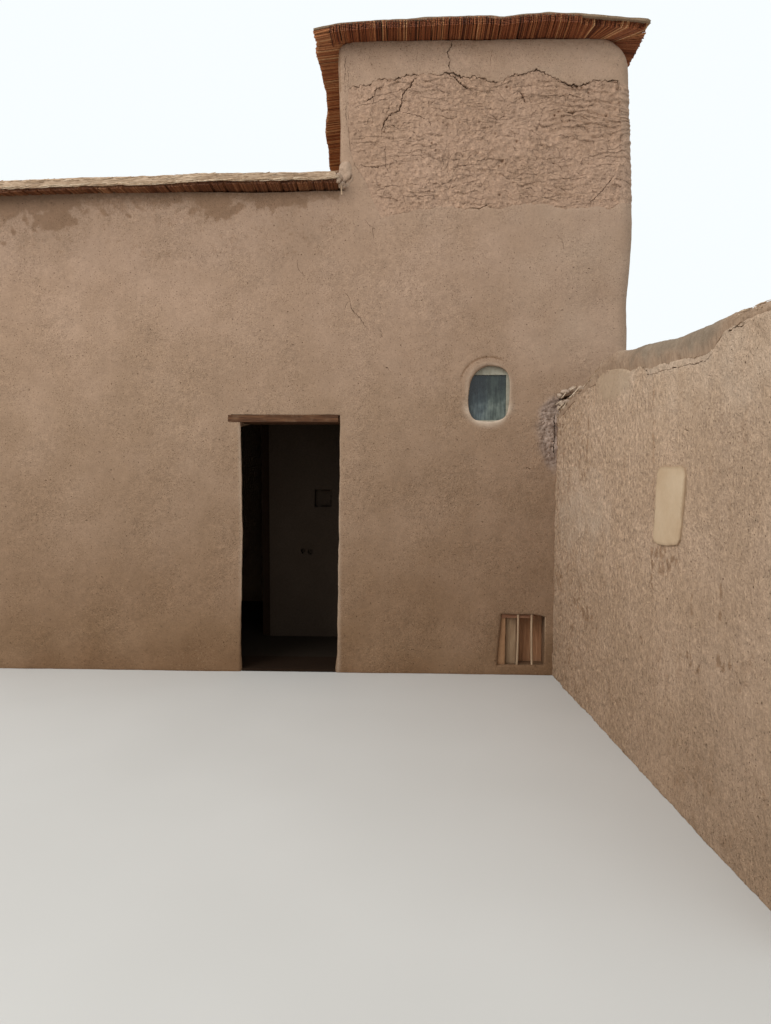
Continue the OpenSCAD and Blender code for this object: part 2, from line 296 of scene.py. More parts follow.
def clear_of(P, lines, dist):
    """Leaves out the points nearer than about dist to any of the lines."""
    cell = dist / 2
    dense = []
    for L, closed in lines:
        A = L if closed else L[:-1]
        B = np.roll(L, -1, 0) if closed else L[1:]
        n = np.maximum(1, np.ceil(np.linalg.norm(B - A, axis=1) / cell).astype(int))
        for a, b, k in zip(A, B, n):
            dense.append(a + (b - a) * (np.arange(k) / k)[:, None])
        dense.append(L[-1:])
    D = np.concatenate(dense)
    k = np.floor(D / cell).astype(np.int64)
    marked = []
    for i in range(-2, 3):
        for j in range(-2, 3):
            if abs(i) + abs(j) < 4:
                marked.append((k[:, 0] + i) * 1000003 + k[:, 1] + j)
    marked = np.unique(np.concatenate(marked))
    return P[~np.isin(keys(P, cell), marked)]


def triangulate(groups, extra, keep):
    """groups: (points, closed) lines kept as edges. Returns points, triangles and, for
    each input point, its place in the result."""
    P, E = [], []
    base = 0
    for L, closed in groups:
        n = len(L)
        P.append(L)
        e = np.stack([np.arange(n - 1), np.arange(1, n)], 1) + base
        E.append(e)
        if closed:
            E.append(np.array([[n - 1, 0]]) + base)
        base += n
    if len(extra):
        P.append(extra)
    P = np.concatenate(P)
    E = np.concatenate(E) if E else np.zeros((0, 2), int)
    V, _, F, OV, _, _ = delaunay_2d_cdt([Vector(p) for p in P], [tuple(map(int, e)) for e in E], [], 0, 1e-7, True)
    V = np.array([(v[0], v[1]) for v in V])
    F = np.array(F, np.int64)
    place = np.full(len(P), -1, np.int64)
    for i, o in enumerate(OV):
        for j in o:
            place[j] = i
    c = V[F].mean(1)
    F = F[keep(c)]
    a, b, d = V[F[:, 0]], V[F[:, 1]], V[F[:, 2]]
    s = (b[:, 0] - a[:, 0]) * (d[:, 1] - a[:, 1]) - (b[:, 1] - a[:, 1]) * (d[:, 0] - a[:, 0])
    F[s < 0] = F[s < 0][:, ::-1]
    F = F[np.abs(s) > 1e-12]
    # exact input positions
    V[place[place >= 0]] = P[place >= 0]
    return V, F, place


class Parts:
    """Collects vertices in wall coordinates (s along, d into the wall, z up)."""

    def __init__(self):
        self.rows = []
        self.count = 0
        self.tri, self.quad = [], []

    def add(self, sz, d, n, uv, w, crack=None):
        k = len(sz)
        d = np.broadcast_to(np.asarray(d, float), (k,))
        w = np.broadcast_to(np.asarray(w, float), (k,))
        n = np.broadcast_to(np.asarray(n, float), (k, 3))
        c = np.zeros(k) if crack is None else crack
        self.rows.append(np.column_stack([sz[:, 0], d, sz[:, 1], n, uv, w, c]))
        i = np.arange(self.count, self.count + k)
        self.count += k
        return i

    def strip(self, A, B):
        A2, B2 = np.roll(A, -1), np.roll(B, -1)
        self.quad.append(np.stack([A2, A, B, B2], 1))


LIP = np.radians([67.5, 45, 22.5, 0])


def slab(name, outer, holes, depth, h, where, material, relief, back_step=0.09, strip=0.045, face=None,
         cracks=(), paint=None, back_relief=0.3, seed=1, attrs=None, warp=None, zone=None, fine=(), **kw):
    """A wall as one closed mesh: a finely divided outer face with rounded lips, reveals
    and an inner face. outer and holes are (points, lip radius per edge)."""
    org, R, D = (np.array(x, float) for x in where)
    b = Parts()
    oP, oR = turned(*outer, True)
    loops = [dict(P=oP, R=oR, kind="outer", depth=depth)]
    for hole in holes:
        P, Rr = turned(hole["P"], hole["R"], False)
        loops.append({**hole, "P": P, "R": Rr})
    for L in loops:
        L["rv"] = np.maximum(L["R"], np.roll(L["R"], 1))
        L["in"] = inset(L["P"], L["R"], 1.0) if L["R"].max() > 0 else L["P"]
        L["m"] = corner_normals(L["P"])
    lo, hi = oP.min(0), oP.max(0)
    grid = hexgrid(lo, hi, h, seed)
    for a, c, step in fine:
        a, c = np.array(a, float), np.array(c, float)
        grid = np.concatenate([grid[~((grid > a) & (grid < c)).all(1)], hexgrid(a, c, step, seed + 3)])
    groups = [(L["in"], True) for L in loops]
    crack_data = []
    for line, width, dep in cracks:
        r = np.random.default_rng(int(abs(line[0][0]) * 1000) + seed)
        line = np.array(line, float)
        seg = np.linalg.norm(np.diff(line, axis=0), axis=1)
        at = np.concatenate([[0], np.cumsum(seg)])
        n = max(3, int(at[-1] / 0.009))
        t = np.linspace(0, at[-1], n + 1)
        C = np.stack([np.interp(t, at, line[:, k]) for k in (0, 1)], 1)
        T = np.gradient(C, axis=0)
        T /= np.linalg.norm(T, axis=1, keepdims=True) + 1e-12
        N = np.stack([-T[:, 1], T[:, 0]], 1)
        rag = 0.0042 if at[-1] > 0.05 else 0.002
        C = C + N * (r.uniform(-1, 1, len(C)) * rag)[:, None]
        taper = np.clip(np.minimum(t, at[-1] - t) / min(at[-1] * 0.3, 0.045) + 0.12, 0, 1) ** 0.6
        wob = 0.4 + 1.2 * r.uniform(0, 1, len(C)) ** 1.5
        w = width * taper * wob
        w = np.maximum(w, 0.0009)
        A, B = C + N * w[:, None], C - N * w[:, None]
        crack_data.append((C, dep * taper * wob))
        groups += [(C, False), (A, False), (B, False)]
    if len(grid):
        grid = grid[inside(grid, loops[0]["in"])]
        for L in loops[1:]:
            grid = grid[~inside(grid, L["in"])]
        grid = clear_of(grid, groups, h * 0.5)

    def keep(c):
        k = inside(c, loops[0]["in"])
        for L in loops[1:]:
            k &= ~inside(c, L["in"])
        return k

    V, F, place = triangulate(groups, grid, keep)
    used = np.zeros(len(V), bool)
    used[F.ravel()] = True
    cr, dep = np.zeros(len(V)), np.zeros(len(V))
    at = sum(len(L["in"]) for L in loops)
    for C, dd in crack_data:
        i = place[at:at + len(C)]
        # the crack lines are marked for painted shade in the colour
        cr[i] = 1.0
        dep[i] = dd
        at += 3 * len(C)
    front = b.add(V, dep, (0, -1, 0), V, 1.0, cr)
    b.tri.append(F + front[0])
    at = 0
    for L in loops:
        n = len(L["in"])
        prev = front[place[at:at + n]]
        at += n
        P, Rr, rv, mm = L["P"], L["R"], L["rv"], L["m"]
        rmax = Rr.max()
        out3 = np.stack([-mm[:, 0], np.zeros(n), -mm[:, 1]], 1)
        if rmax > 0:
            for a in (LIP if rmax > 0.0035 else LIP[[1, 3]]):
                ring = inset(P, Rr, 1 - math.cos(a))
                nn = out3 * math.cos(a) + np.array([0, -math.sin(a), 0])
                uv = L["in"] - mm * (rv * (math.pi / 2 - a))[:, None]
                cur = b.add(ring, rv * (1 - math.sin(a)), nn, uv, 1.0)
                b.strip(prev, cur)
                prev = cur
        end = L["depth"]
        st = L.get("strip", strip)
        k = max(1, int(math.ceil((end - rmax) / st)))
        for j in range(1, k + 1):
            d = rv + (end - rv) * j / k
            uv = P - mm * (d + 0.2 * rv)[:, None]
            w = L.get("side", 1.0)
            # reveals marked dark are painted as shade
            cur = b.add(P, d, out3, uv, w, np.full(n, float(L.get("dark", 0.0))))
            b.strip(prev, cur)
            prev = cur
        L["last"] = prev
        if L.get("kind") == "pocket":
            # the wall opens out behind the lip to a wider square pocket
            Q, Qr = subdivide(L["pocket"], np.zeros(len(L["pocket"])), 0.05)
            Q, Qr = turned(Q, Qr, False)
            def between(c, Q=Q, P=P):
                return inside(c, Q) & ~inside(c, P)
            V2, F2, pl = triangulate([(Q, True), (P, True)], np.zeros((0, 2)), between)
            qi = b.add(Q, end, (0, 1, 0), Q, 0.0)
            m2 = np.full(len(V2), -1)
            m2[pl[:len(Q)]] = qi
            m2[pl[len(Q):]] = prev
            b.tri.append(m2[F2][:, ::-1])
            cur = b.add(Q, depth, np.column_stack([-corner_normals(Q)[:, 0], np.zeros(len(Q)), -corner_normals(Q)[:, 1]]), Q, 0.0)
            b.strip(qi, cur)
            L["P"], L["last"] = Q, cur
        if L.get("kind") == "blind":
            g = hexgrid(P.min(0), P.max(0), L.get("h", 0.03), seed + 5)
            g = clear_of(g[inside(g, P)], [(P, True)], L.get("h", 0.03) * 0.5)
            V2, F2, pl = triangulate([(P, True)], g, lambda c, P=P: inside(c, P))
            m2 = np.full(len(V2), -1)
            m2[pl[:n]] = prev
            rest = np.where(m2 < 0)[0]
            m2[rest] = b.add(V2[rest], end, (0, -1, 0), V2[rest], 1.0)
            b.tri.append(m2[F2])
    backs = [L for L in loops if L.get("kind") != "blind"]
    g = hexgrid(lo, hi, back_step, seed + 9)
    g = g[inside(g, backs[0]["P"])]
    for L in backs[1:]:
        g = g[~inside(g, L["P"])]
    g = clear_of(g, [(L["P"], True) for L in backs], min(back_step * 0.5, 0.03))

    def keep_back(c):
        k = inside(c, backs[0]["P"])
        for L in backs[1:]:
            k &= ~inside(c, L["P"])
        return k

    V2, F2, pl = triangulate([(L["P"], True) for L in backs], g, keep_back)
    m2 = np.full(len(V2), -1)
    at = 0
    for L in backs:
        m2[pl[at:at + len(L["P"])]] = L["last"]
        at += len(L["P"])
    rest = np.where((m2 < 0))[0]
    m2[rest] = b.add(V2[rest], depth, (0, 1, 0), V2[rest], back_relief)
    b.tri.append(m2[F2][:, ::-1])

    rows = np.concatenate(b.rows)
    tri = np.concatenate(b.tri)
    quad = np.concatenate(b.quad)
    # leave out vertices no face uses
    live = np.zeros(len(rows), bool)
    live[tri.ravel()] = True
    live[quad.ravel()] = True
    new = np.cumsum(live) - 1
    rows, tri, quad = rows[live], new[tri], new[quad]
    s, d, z = rows[:, 0], rows[:, 1], rows[:, 2]
    N = rows[:, 3:6]
    if face is not None:
        d = d + face(s, z) * np.clip(1 - d / depth, 0, 1)
    s3 = s if warp is None else s + warp(s, z, d)
    P3 = org + s3[:, None] * R + d[:, None] * D + z[:, None] * np.array([0, 0, 1.0])
    N3 = N[:, :1] * R + N[:, 1:2] * D + N[:, 2:3] * np.array([0, 0, 1.0])
    disp = relief(P3, s, z, rows[:, 1]) * rows[:, 8]
    P4 = P3 + N3 * disp[:, None]
    P4[z < 1e-6, 2] = 0.0
    P4[:, 2] = np.maximum(P4[:, 2], 0.0)
    uv = rows[:, 6:8]
    A = {"suv": np.column_stack([uv, np.zeros(len(uv))]), "crack": rows[:, 9]}
    if paint is not None:
        A.update(paint(P4, s, z, rows[:, 1], N3))
    if attrs:
        for k, v in attrs.items():
            A[k] = np.full(len(uv), v)
    index = None
    if zone is not None:
        d0 = rows[:, 1]
        index = np.concatenate([zone(s[f].mean(1), z[f].mean(1), d0[f].mean(1)) for f in (tri, quad)]).astype(int)
    ob = make(name, P4, [tri, quad], material, A, index=index, **kw)
    print(name, "triangles", len(tri) + 2 * len(quad))
    return ob


# ------------------------------------------------------------------ materials
def lin(*c):
    """sRGB 0-255 to linear."""
    out = []
    for v in c:
        v = v / 255.0
        out.append(v / 12.92 if v <= 0.04045 else ((v + 0.055) / 1.055) ** 2.4)
    return tuple(out) + (1.0,)


class Mat:
    def __init__(self, name, rough=0.92, spec=0.15):
        self.mat = bpy.data.materials.new(name)
        self.mat.use_nodes = True
        self.t = self.mat.node_tree
        self.t.nodes.clear()
        self.out = self.t.nodes.new("ShaderNodeOutputMaterial")
        self.bsdf = self.t.nodes.new("ShaderNodeBsdfPrincipled")
        self.bsdf.inputs["Roughness"].default_value = rough
        self.bsdf.inputs["Specular IOR Level"].default_value = spec
        self.t.links.new(self.bsdf.outputs[0], self.out.inputs[0])

    def put(self, sock, val):
        if val is None:
            return
        if isinstance(val, bpy.types.NodeSocket):
            self.t.links.new(val, sock)
        else:
            sock.default_value = val

    def node(self, kind, ins=None, **props):
        n = self.t.nodes.new(kind)
        for k, v in props.items():
            setattr(n, k, v)
        for k, v in (ins or {}).items():
            self.put(n.inputs[k], v)
        return n

    def attr(self, name, vector=False):
        n = self.node("ShaderNodeAttribute", attribute_name=name, attribute_type="GEOMETRY")
        return n.outputs["Vector" if vector else "Fac"]

    def pos(self):
        return self.node("ShaderNodeTexCoord").outputs["Object"]

    def mapping(self, v, scale=(1, 1, 1), loc=(0, 0, 0), rot=(0, 0, 0)):
        return self.node("ShaderNodeMapping", {"Vector": v, "Scale": scale, "Location": loc, "Rotation": rot}).outputs[0]

    def noise(self, v, scale, detail=3.0, rough=0.55, dist=0.0, dims="3D", out="Fac"):
        n = self.node("ShaderNodeTexNoise", {"Vector": v, "Scale": scale, "Detail": detail, "Roughness": rough,
                                             "Distortion": dist}, noise_dimensions=dims)
        return n.outputs["Fac" if out == "Fac" else "Color"]

    def math(self, op, a, b=None, c=None, clamp=False):
        n = self.node("ShaderNodeMath", operation=op, use_clamp=clamp)
        self.put(n.inputs[0], a)
        self.put(n.inputs[1], b)
        self.put(n.inputs[2], c)
        return n.outputs[0]

    def vec(self, op, a, b=None, scale=None):
        n = self.node("ShaderNodeVectorMath", operation=op)
        self.put(n.inputs[0], a)
        self.put(n.inputs[1], b)
        if scale is not None:
            self.put(n.inputs["Scale"], scale)
        return n.outputs["Value"] if op in ("LENGTH", "DOT_PRODUCT", "DISTANCE") else n.outputs[0]

    def step(self, v, a, b, lo=0.0, hi=1.0):
        n = self.node("ShaderNodeMapRange", {"Value": v, "From Min": a, "From Max": b, "To Min": lo, "To Max": hi},
                      interpolation_type="SMOOTHSTEP")
        return n.outputs[0]

    def span(self, v, a, b, lo, hi):
        n = self.node("ShaderNodeMapRange", {"Value": v, "From Min": a, "From Max": b, "To Min": lo, "To Max": hi})
        return n.outputs[0]

    def mix(self, fac, a, b, mode="MIX"):
        n = self.node("ShaderNodeMix", data_type="RGBA", blend_type=mode)
        self.put(n.inputs[0], fac)
        self.put(n.inputs[6], a)
        self.put(n.inputs[7], b)
        return n.outputs[2]

    def ramp(self, fac, stops, mode="LINEAR"):
        n = self.node("ShaderNodeValToRGB", {"Fac": fac})
        r = n.color_ramp
        r.interpolation = mode
        while len(r.elements) < len(stops):
            r.elements.new(0.5)
        for e, (p, c) in zip(r.elements, stops):
            e.position = p
            e.color = c if len(c) == 4 else (*c, 1.0)
        return n.outputs[0]

    def sep(self, v):
        n = self.node("ShaderNodeSeparateXYZ", {0: v})
        return n.outputs

    def comb(self, x, y, z):
        return self.node("ShaderNodeCombineXYZ", {0: x, 1: y, 2: z}).outputs[0]

    def grey(self, v):
        return self.node("ShaderNodeCombineColor", {0: v, 1: v, 2: v}).outputs[0]

    def scatter(self, v, scale, length, width, share, soft=0.5, seed=0.0, slant=None):
        """Short strokes, one per cell at random angles: 1 on a stroke, 0 off it. v is a
        flat vector in metres; length and width are half sizes in metres."""
        moved = self.mapping(v, loc=(seed * 1.37, seed * 2.11, 0)) if seed else v
        vo = self.node("ShaderNodeTexVoronoi", {"Vector": moved, "Scale": scale, "Randomness": 1.0},
                       voronoi_dimensions="2D", feature="F1")
        d = self.vec("SUBTRACT", moved, vo.outputs["Position"])
        rgb = self.node("ShaderNodeSeparateColor", {0: vo.outputs["Color"]}).outputs
        if slant is None:
            ang = self.math("MULTIPLY", rgb[0], math.pi)
        else:
            mid, spread = slant
            ang = self.math("MULTIPLY_ADD", self.math("SUBTRACT", rgb[0], 0.5), spread, mid)
        ca, sa = self.math("COSINE", ang), self.math("SINE", ang)
        x, y, _ = self.sep(d)
        a = self.math("ABSOLUTE", self.math("ADD", self.math("MULTIPLY", x, ca), self.math("MULTIPLY", y, sa)))
        b = self.math("ABSOLUTE", self.math("SUBTRACT", self.math("MULTIPLY", y, ca), self.math("MULTIPLY", x, sa)))
        long = self.step(a, length, length * 0.55)
        wide = self.step(b, width, width * soft * 0.5)
        some = self.math("LESS_THAN", rgb[1], share)
        return self.math("MULTIPLY", self.math("MULTIPLY", long, wide), some), rgb[2]

    def finish(self, color, height=None, distance=0.003, rough=None, strength=1.0):
        self.put(self.bsdf.inputs["Base Color"], color)
        if rough is not None:
            self.put(self.bsdf.inputs["Roughness"], rough)
        if height is not None:
            bmp = self.node("ShaderNodeBump", {"Height": height, "Distance": distance, "Strength": strength})
            self.put(self.bsdf.inputs["Normal"], bmp.outputs[0])
        return self.mat


def mud(name, gain=1.0, tint=(1, 1, 1), coarse=1.0, fleck=1.0, slant=None, seed=0.0, stops=None, special=True,
        bump=0.0035, hollow_shade_amount=1.0, strokes=0.0, lips=False, dots=0.5):
    """Hand-laid mud and chopped straw, darker and browner towards the ground."""
    M = Mat(name)
    v = M.attr("suv", True)
    p = M.pos()
    z = M.sep(p)[2]
    # darker and browner towards the ground: partly damp earth, partly painted shade low on the walls
    stops = stops or [(0.0, lin(118, 90, 66)), (0.06, lin(128, 101, 77)), (0.13, lin(134, 107, 84)), (0.3, lin(143, 117, 95)),
                      (0.5, lin(151, 125, 103)), (0.72, lin(160, 133, 112)), (1.0, lin(163, 136, 115))]
    wob = M.noise(p, 1.1, 2, 0.6)
    zz = M.math("ADD", z, M.math("MULTIPLY_ADD", wob, 0.9, -0.45))
    base = M.ramp(M.span(zz, 0.0, 4.0, 0.0, 1.0), stops)
    g = tuple(gain * t for t in tint)
    base = M.mix(1.0, base, (*g, 1), "MULTIPLY")
    # cloudy variation
    big = M.noise(p, 2.3, 3, 0.6)
    base = M.mix(M.step(big, 0.35, 0.7), M.mix(1.0, base, (0.95, 0.94, 0.92, 1), "MULTIPLY"),
                 M.mix(1.0, base, (1.05, 1.055, 1.065, 1), "MULTIPLY"))
    mid = M.noise(p, 11.0, 3, 0.62)
    base = M.mix(1.0, base, M.grey(M.span(mid, 0.25, 0.75, 0.93, 1.07)), "MULTIPLY")
    # hollows and bumps of the hand: coarser in patches; the colour is darkened in the hollows as painted shade and
    # lightened on the bumps as painted light
    quilt = M.step(M.noise(p, 1.9, 2, 0.6), 0.42, 0.62, 0.55, 1.5)
    c1 = M.noise(p, 36.0 / coarse, 3, 0.6)
    c2 = M.noise(p, 85.0 / coarse, 2, 0.6)
    hollows_and_shade = M.math("SUBTRACT", M.math("ADD", M.math("MULTIPLY", c1, 0.55), M.math("MULTIPLY", c2, 0.45)), 0.5)
    hollows_and_shade = M.math("MULTIPLY", hollows_and_shade, quilt)
    base = M.mix(1.0, base, M.grey(M.math("MULTIPLY_ADD", hollows_and_shade, 0.62 * hollow_shade_amount, 1.0)), "MULTIPLY")
    # grains of sand and silt
    grain = M.noise(p, 190.0 / coarse, 3, 0.7)
    base = M.mix(1.0, base, M.grey(M.span(grain, 0.25, 0.75, 0.86, 1.14)), "MULTIPLY")
    if strokes:
        # dragged upright: short strokes whose colour follows their height, painted light on the ridges and painted
        # shade in the hollows
        w = v
        d1 = M.noise(M.mapping(w, scale=(1.0, 0.74, 1.0)), 92.0, 3, 0.66)
        d0 = M.noise(M.mapping(w, scale=(1.0, 0.58, 1.0), loc=(4, 1, 0)), 42.0, 2, 0.6)
        drag_relief_and_shade = M.math("SUBTRACT", M.math("ADD", M.math("MULTIPLY", d1, 0.62), M.math("MULTIPLY", d0, 0.38)), 0.5)
        # nearer the house the ground mass is coarser
        close = M.step(M.sep(v)[0], 2.6, 1.3, 0.15, 1.0)
        d3 = M.noise(M.mapping(v, scale=(1.0, 0.62, 1.0), loc=(2, 7, 0)), 50.0, 4, 0.72)
        drag_relief_and_shade = M.math("ADD", drag_relief_and_shade, M.math("MULTIPLY", M.math("MULTIPLY_ADD", d3, 1.45, -0.625), close))
        calm = M.attr("spot")
        drag_relief_and_shade = M.math("MULTIPLY", drag_relief_and_shade, M.math("MULTIPLY_ADD", calm, -0.8, 1.0))
        base = M.mix(1.0, base, M.grey(M.math("MULTIPLY_ADD", drag_relief_and_shade, strokes, 1.0)), "MULTIPLY")
        # the deepest drag hollows darkened further as painted shade
        drag_pit_shade = M.step(drag_relief_and_shade, -0.13, -0.24)
        base = M.mix(M.math("MULTIPLY", drag_pit_shade, 0.5), base, M.mix(1.0, base, (0.45, 0.38, 0.31, 1), "MULTIPLY"))
    # chopped straw: shadowed dents, and pale stalks
    d1, k1 = M.scatter(v, 42.0 / coarse, 0.0085 * coarse, 0.0019 * coarse, 0.75, seed=1.0 + seed, slant=slant)
    d2, k2 = M.scatter(v, 75.0 / coarse, 0.005 * coarse, 0.0013 * coarse, 0.8, seed=5.0 + seed, slant=slant)
    l1, k3 = M.scatter(v, 36.0 / coarse, 0.010 * coarse, 0.0012 * coarse, 0.6, seed=9.0 + seed, slant=slant)
    patchy = M.step(M.noise(p, 4.2, 2, 0.6), 0.40, 0.62, 0.25, 1.15)
    dark = M.math("MULTIPLY", M.math("MAXIMUM", M.math("MULTIPLY", d1, k1), M.math("MULTIPLY", d2, 0.6)), patchy)
    pale = M.math("MULTIPLY", M.math("MULTIPLY", l1, k3), patchy)
    base = M.mix(M.math("MULTIPLY", dark, 0.7 * fleck, clamp=True), base, M.mix(1.0, base, (0.42, 0.36, 0.30, 1), "MULTIPLY"))
    base = M.mix(M.math("MULTIPLY", pale, 0.5 * fleck, clamp=True), base, M.mix(0.6, base, lin(198, 170, 134)))
    # small pits, and the sparser holes of fallen grit, darkened as painted shade inside them
    pit = M.node("ShaderNodeTexVoronoi", {"Vector": v, "Scale": 26.0 / coarse}, voronoi_dimensions="2D")
    rgb = M.node("ShaderNodeSeparateColor", {0: pit.outputs["Color"]}).outputs
    hole = M.math("MULTIPLY", M.step(pit.outputs["Distance"], 0.085, 0.03), M.math("LESS_THAN", rgb[0], 0.35))
    grit = M.node("ShaderNodeTexVoronoi", {"Vector": M.mapping(v, loc=(seed + 0.7, 0.3, 0)), "Scale": 9.5}, voronoi_dimensions="2D")
    rgb = M.node("ShaderNodeSeparateColor", {0: grit.outputs["Color"]}).outputs
    size = M.math("MULTIPLY_ADD", rgb[1], 0.035, 0.022)
    spotd = M.math("DIVIDE", grit.outputs["Distance"], size)
    hole2 = M.math("MULTIPLY", M.step(spotd, 1.0, 0.55), M.math("LESS_THAN", rgb[0], dots))
    hole = M.math("MAXIMUM", hole, hole2)
    base = M.mix(M.math("MULTIPLY", hole, 0.75), base, M.mix(1.0, base, (0.30, 0.24, 0.19, 1), "MULTIPLY"))
    h = M.math("MULTIPLY", grain, 0.38)
    h = M.math("ADD", h, M.math("MULTIPLY", hollows_and_shade, 2.1))
    if strokes:
        h = M.math("ADD", h, M.math("MULTIPLY", drag_relief_and_shade, 3.2))
    if lips:
        # crevices under the lips of the thrown clods, broken and wavy, darkened as painted shadow under each lip
        fine = M.math("ADD", M.math("MULTIPLY_ADD", M.noise(v, 26.0, 3, 0.65), 1.3, -0.65), M.math("MULTIPLY_ADD", M.noise(v, 90.0, 2, 0.6), 0.5, -0.25))
        lip_shadow_and_groove = None
        n60, n40 = M.noise(v, 60.0, 2, 0.6), M.noise(v, 40.0, 2, 0.6)
        for k, wide in (("1", 0.13), ("2", 0.17)):
            ph = M.math("ADD", M.attr("ph" + k), M.math("MULTIPLY", fine, 0.62 if k == "1" else 0.80))
            fr = M.math("FRACT", ph)
            thick = M.math("MULTIPLY_ADD", n60, 1.8 * wide, -0.4 * wide)
            edge = M.step(M.math("SUBTRACT", fr, M.math("SUBTRACT", 1.0, thick)), -0.05, 0.04)
            gone = M.step(M.math("ADD", M.attr("amp" + k), M.math("MULTIPLY_ADD", n40, 2.4, -1.2)), 0.35, 0.7)
            one = M.math("MULTIPLY", edge, gone)
            if k == "2":
                one = M.math("MULTIPLY", one, 0.75)
            lip_shadow_and_groove = one if lip_shadow_and_groove is None else M.math("MAXIMUM", lip_shadow_and_groove, one)
        base = M.mix(M.math("MULTIPLY", lip_shadow_and_groove, 0.27), base, M.mix(1.0, base, (0.36, 0.28, 0.21, 1), "MULTIPLY"))
        # flakes: the colour follows their height, painted light on the raised ones and painted shade between them
        flat = M.noise(M.mapping(v, scale=(0.75, 1.0, 1.0)), 44.0, 4, 0.65)
        flat = M.math("SUBTRACT", flat, 0.5)
        base = M.mix(1.0, base, M.grey(M.math("MULTIPLY_ADD", flat, 1.0, 1.0)), "MULTIPLY")
        # the crust has parted here and there along crooked lines, darkened as painted shade in the partings
        bent = M.vec("ADD", v, M.vec("SCALE", M.vec("SUBTRACT", M.noise(v, 15.0, 2, 0.65, out="Color"), (0.5, 0.5, 0.5)), scale=0.10))
        net = M.node("ShaderNodeTexVoronoi", {"Vector": M.mapping(bent, scale=(0.8, 1.0, 1.0)), "Scale": 15.0}, voronoi_dimensions="2D", feature="DISTANCE_TO_EDGE")
        open_ = M.step(M.noise(v, 8.0, 3, 0.6, 0.0), 0.47, 0.62)
        thin = M.math("MULTIPLY", open_, M.step(n60, 0.34, 0.6, 0.25, 1.0))
        parting_shade = M.math("MULTIPLY", M.step(net.outputs["Distance"], 0.055, 0.010), thin)
        base = M.mix(M.math("MULTIPLY", parting_shade, 0.42), base, M.mix(1.0, base, (0.34, 0.26, 0.19, 1), "MULTIPLY"))
        h = M.math("SUBTRACT", h, M.math("MULTIPLY", lip_shadow_and_groove, 1.1))
        h = M.math("ADD", h, M.math("MULTIPLY", flat, 2.0))
    if special:
        # stains, and painted shade where the mask also marks it: under the eaves, in the window's top, in pits
        stain = M.attr("stain")
        ragged = M.math("MULTIPLY_ADD", M.noise(p, 30.0, 5, 0.7), 2.2, -1.1)
        ragged = M.math("MULTIPLY", M.step(M.math("ADD", stain, M.math("MULTIPLY", ragged, 0.55)), 0.12, 0.75), M.step(stain, 0.02, 0.12))
        base = M.mix(M.math("MULTIPLY", ragged, 0.85), base, M.mix(1.0, base, (0.66, 0.59, 0.52, 1), "MULTIPLY"))
        base = M.mix(1.0, base, M.grey(M.math("MULTIPLY_ADD", M.attr("tone"), -0.09, 1.0)), "MULTIPLY")
        light = M.attr("pale")
        base = M.mix(light, base, M.mix(0.70, base, lin(208, 188, 168)))
        grey = M.attr("cement")
        stone = M.mix(M.step(mid, 0.3, 0.7), lin(124, 105, 94), lin(170, 150, 137))
        # the pebbles darkened in their hollows as painted shade
        stone = M.mix(1.0, stone, M.grey(M.math("MULTIPLY_ADD", hollows_and_shade, 1.6, 1.0)), "MULTIPLY")
        base = M.mix(grey, base, M.mix(0.85, base, stone))
    if strokes:
        # the dab darkened in its hollows as painted shade
        moss = M.mix(1.0, lin(162, 141, 117), M.grey(M.math("MULTIPLY_ADD", hollows_and_shade, 0.8, 1.0)), "MULTIPLY")
        base = M.mix(M.math("MULTIPLY", calm, 0.52), base, moss)
    # painted shade inside the cracks and other marked gaps
    crack = M.attr("crack")
    base = M.mix(M.step(crack, 0.25, 0.85), base, M.mix(1.0, base, (0.20, 0.15, 0.11, 1), "MULTIPLY"))
    h = M.math("SUBTRACT", h, M.math("MULTIPLY", hole, 0.9))
    return M.finish(base, h, bump * coarse, rough=M.span(grain, 0.2, 0.8, 0.88, 0.98))


MUD = mud("mud_render", gain=0.985, fleck=1.45, dots=0.25, hollow_shade_amount=1.15)
MUD_ROUGH = mud("rough_mud", gain=1.03, tint=(1.03, 0.995, 0.985), coarse=1.25, fleck=1.1, seed=20.0, bump=0.004, hollow_shade_amount=1.9, lips=True, dots=0.4)
MUD_YARD = mud("yard_mud", gain=1.055, coarse=1.1, fleck=1.3, slant=(math.pi / 2, 2.6), seed=40.0, strokes=1.55, hollow_shade_amount=1.2, bump=0.004, dots=0.4,
               stops=[(0.0, lin(152, 126, 103)), (0.1, lin(156, 130, 107)), (0.35, lin(171, 145, 122)),
                      (0.6, lin(178, 153, 130)), (1.0, lin(180, 155, 132))])


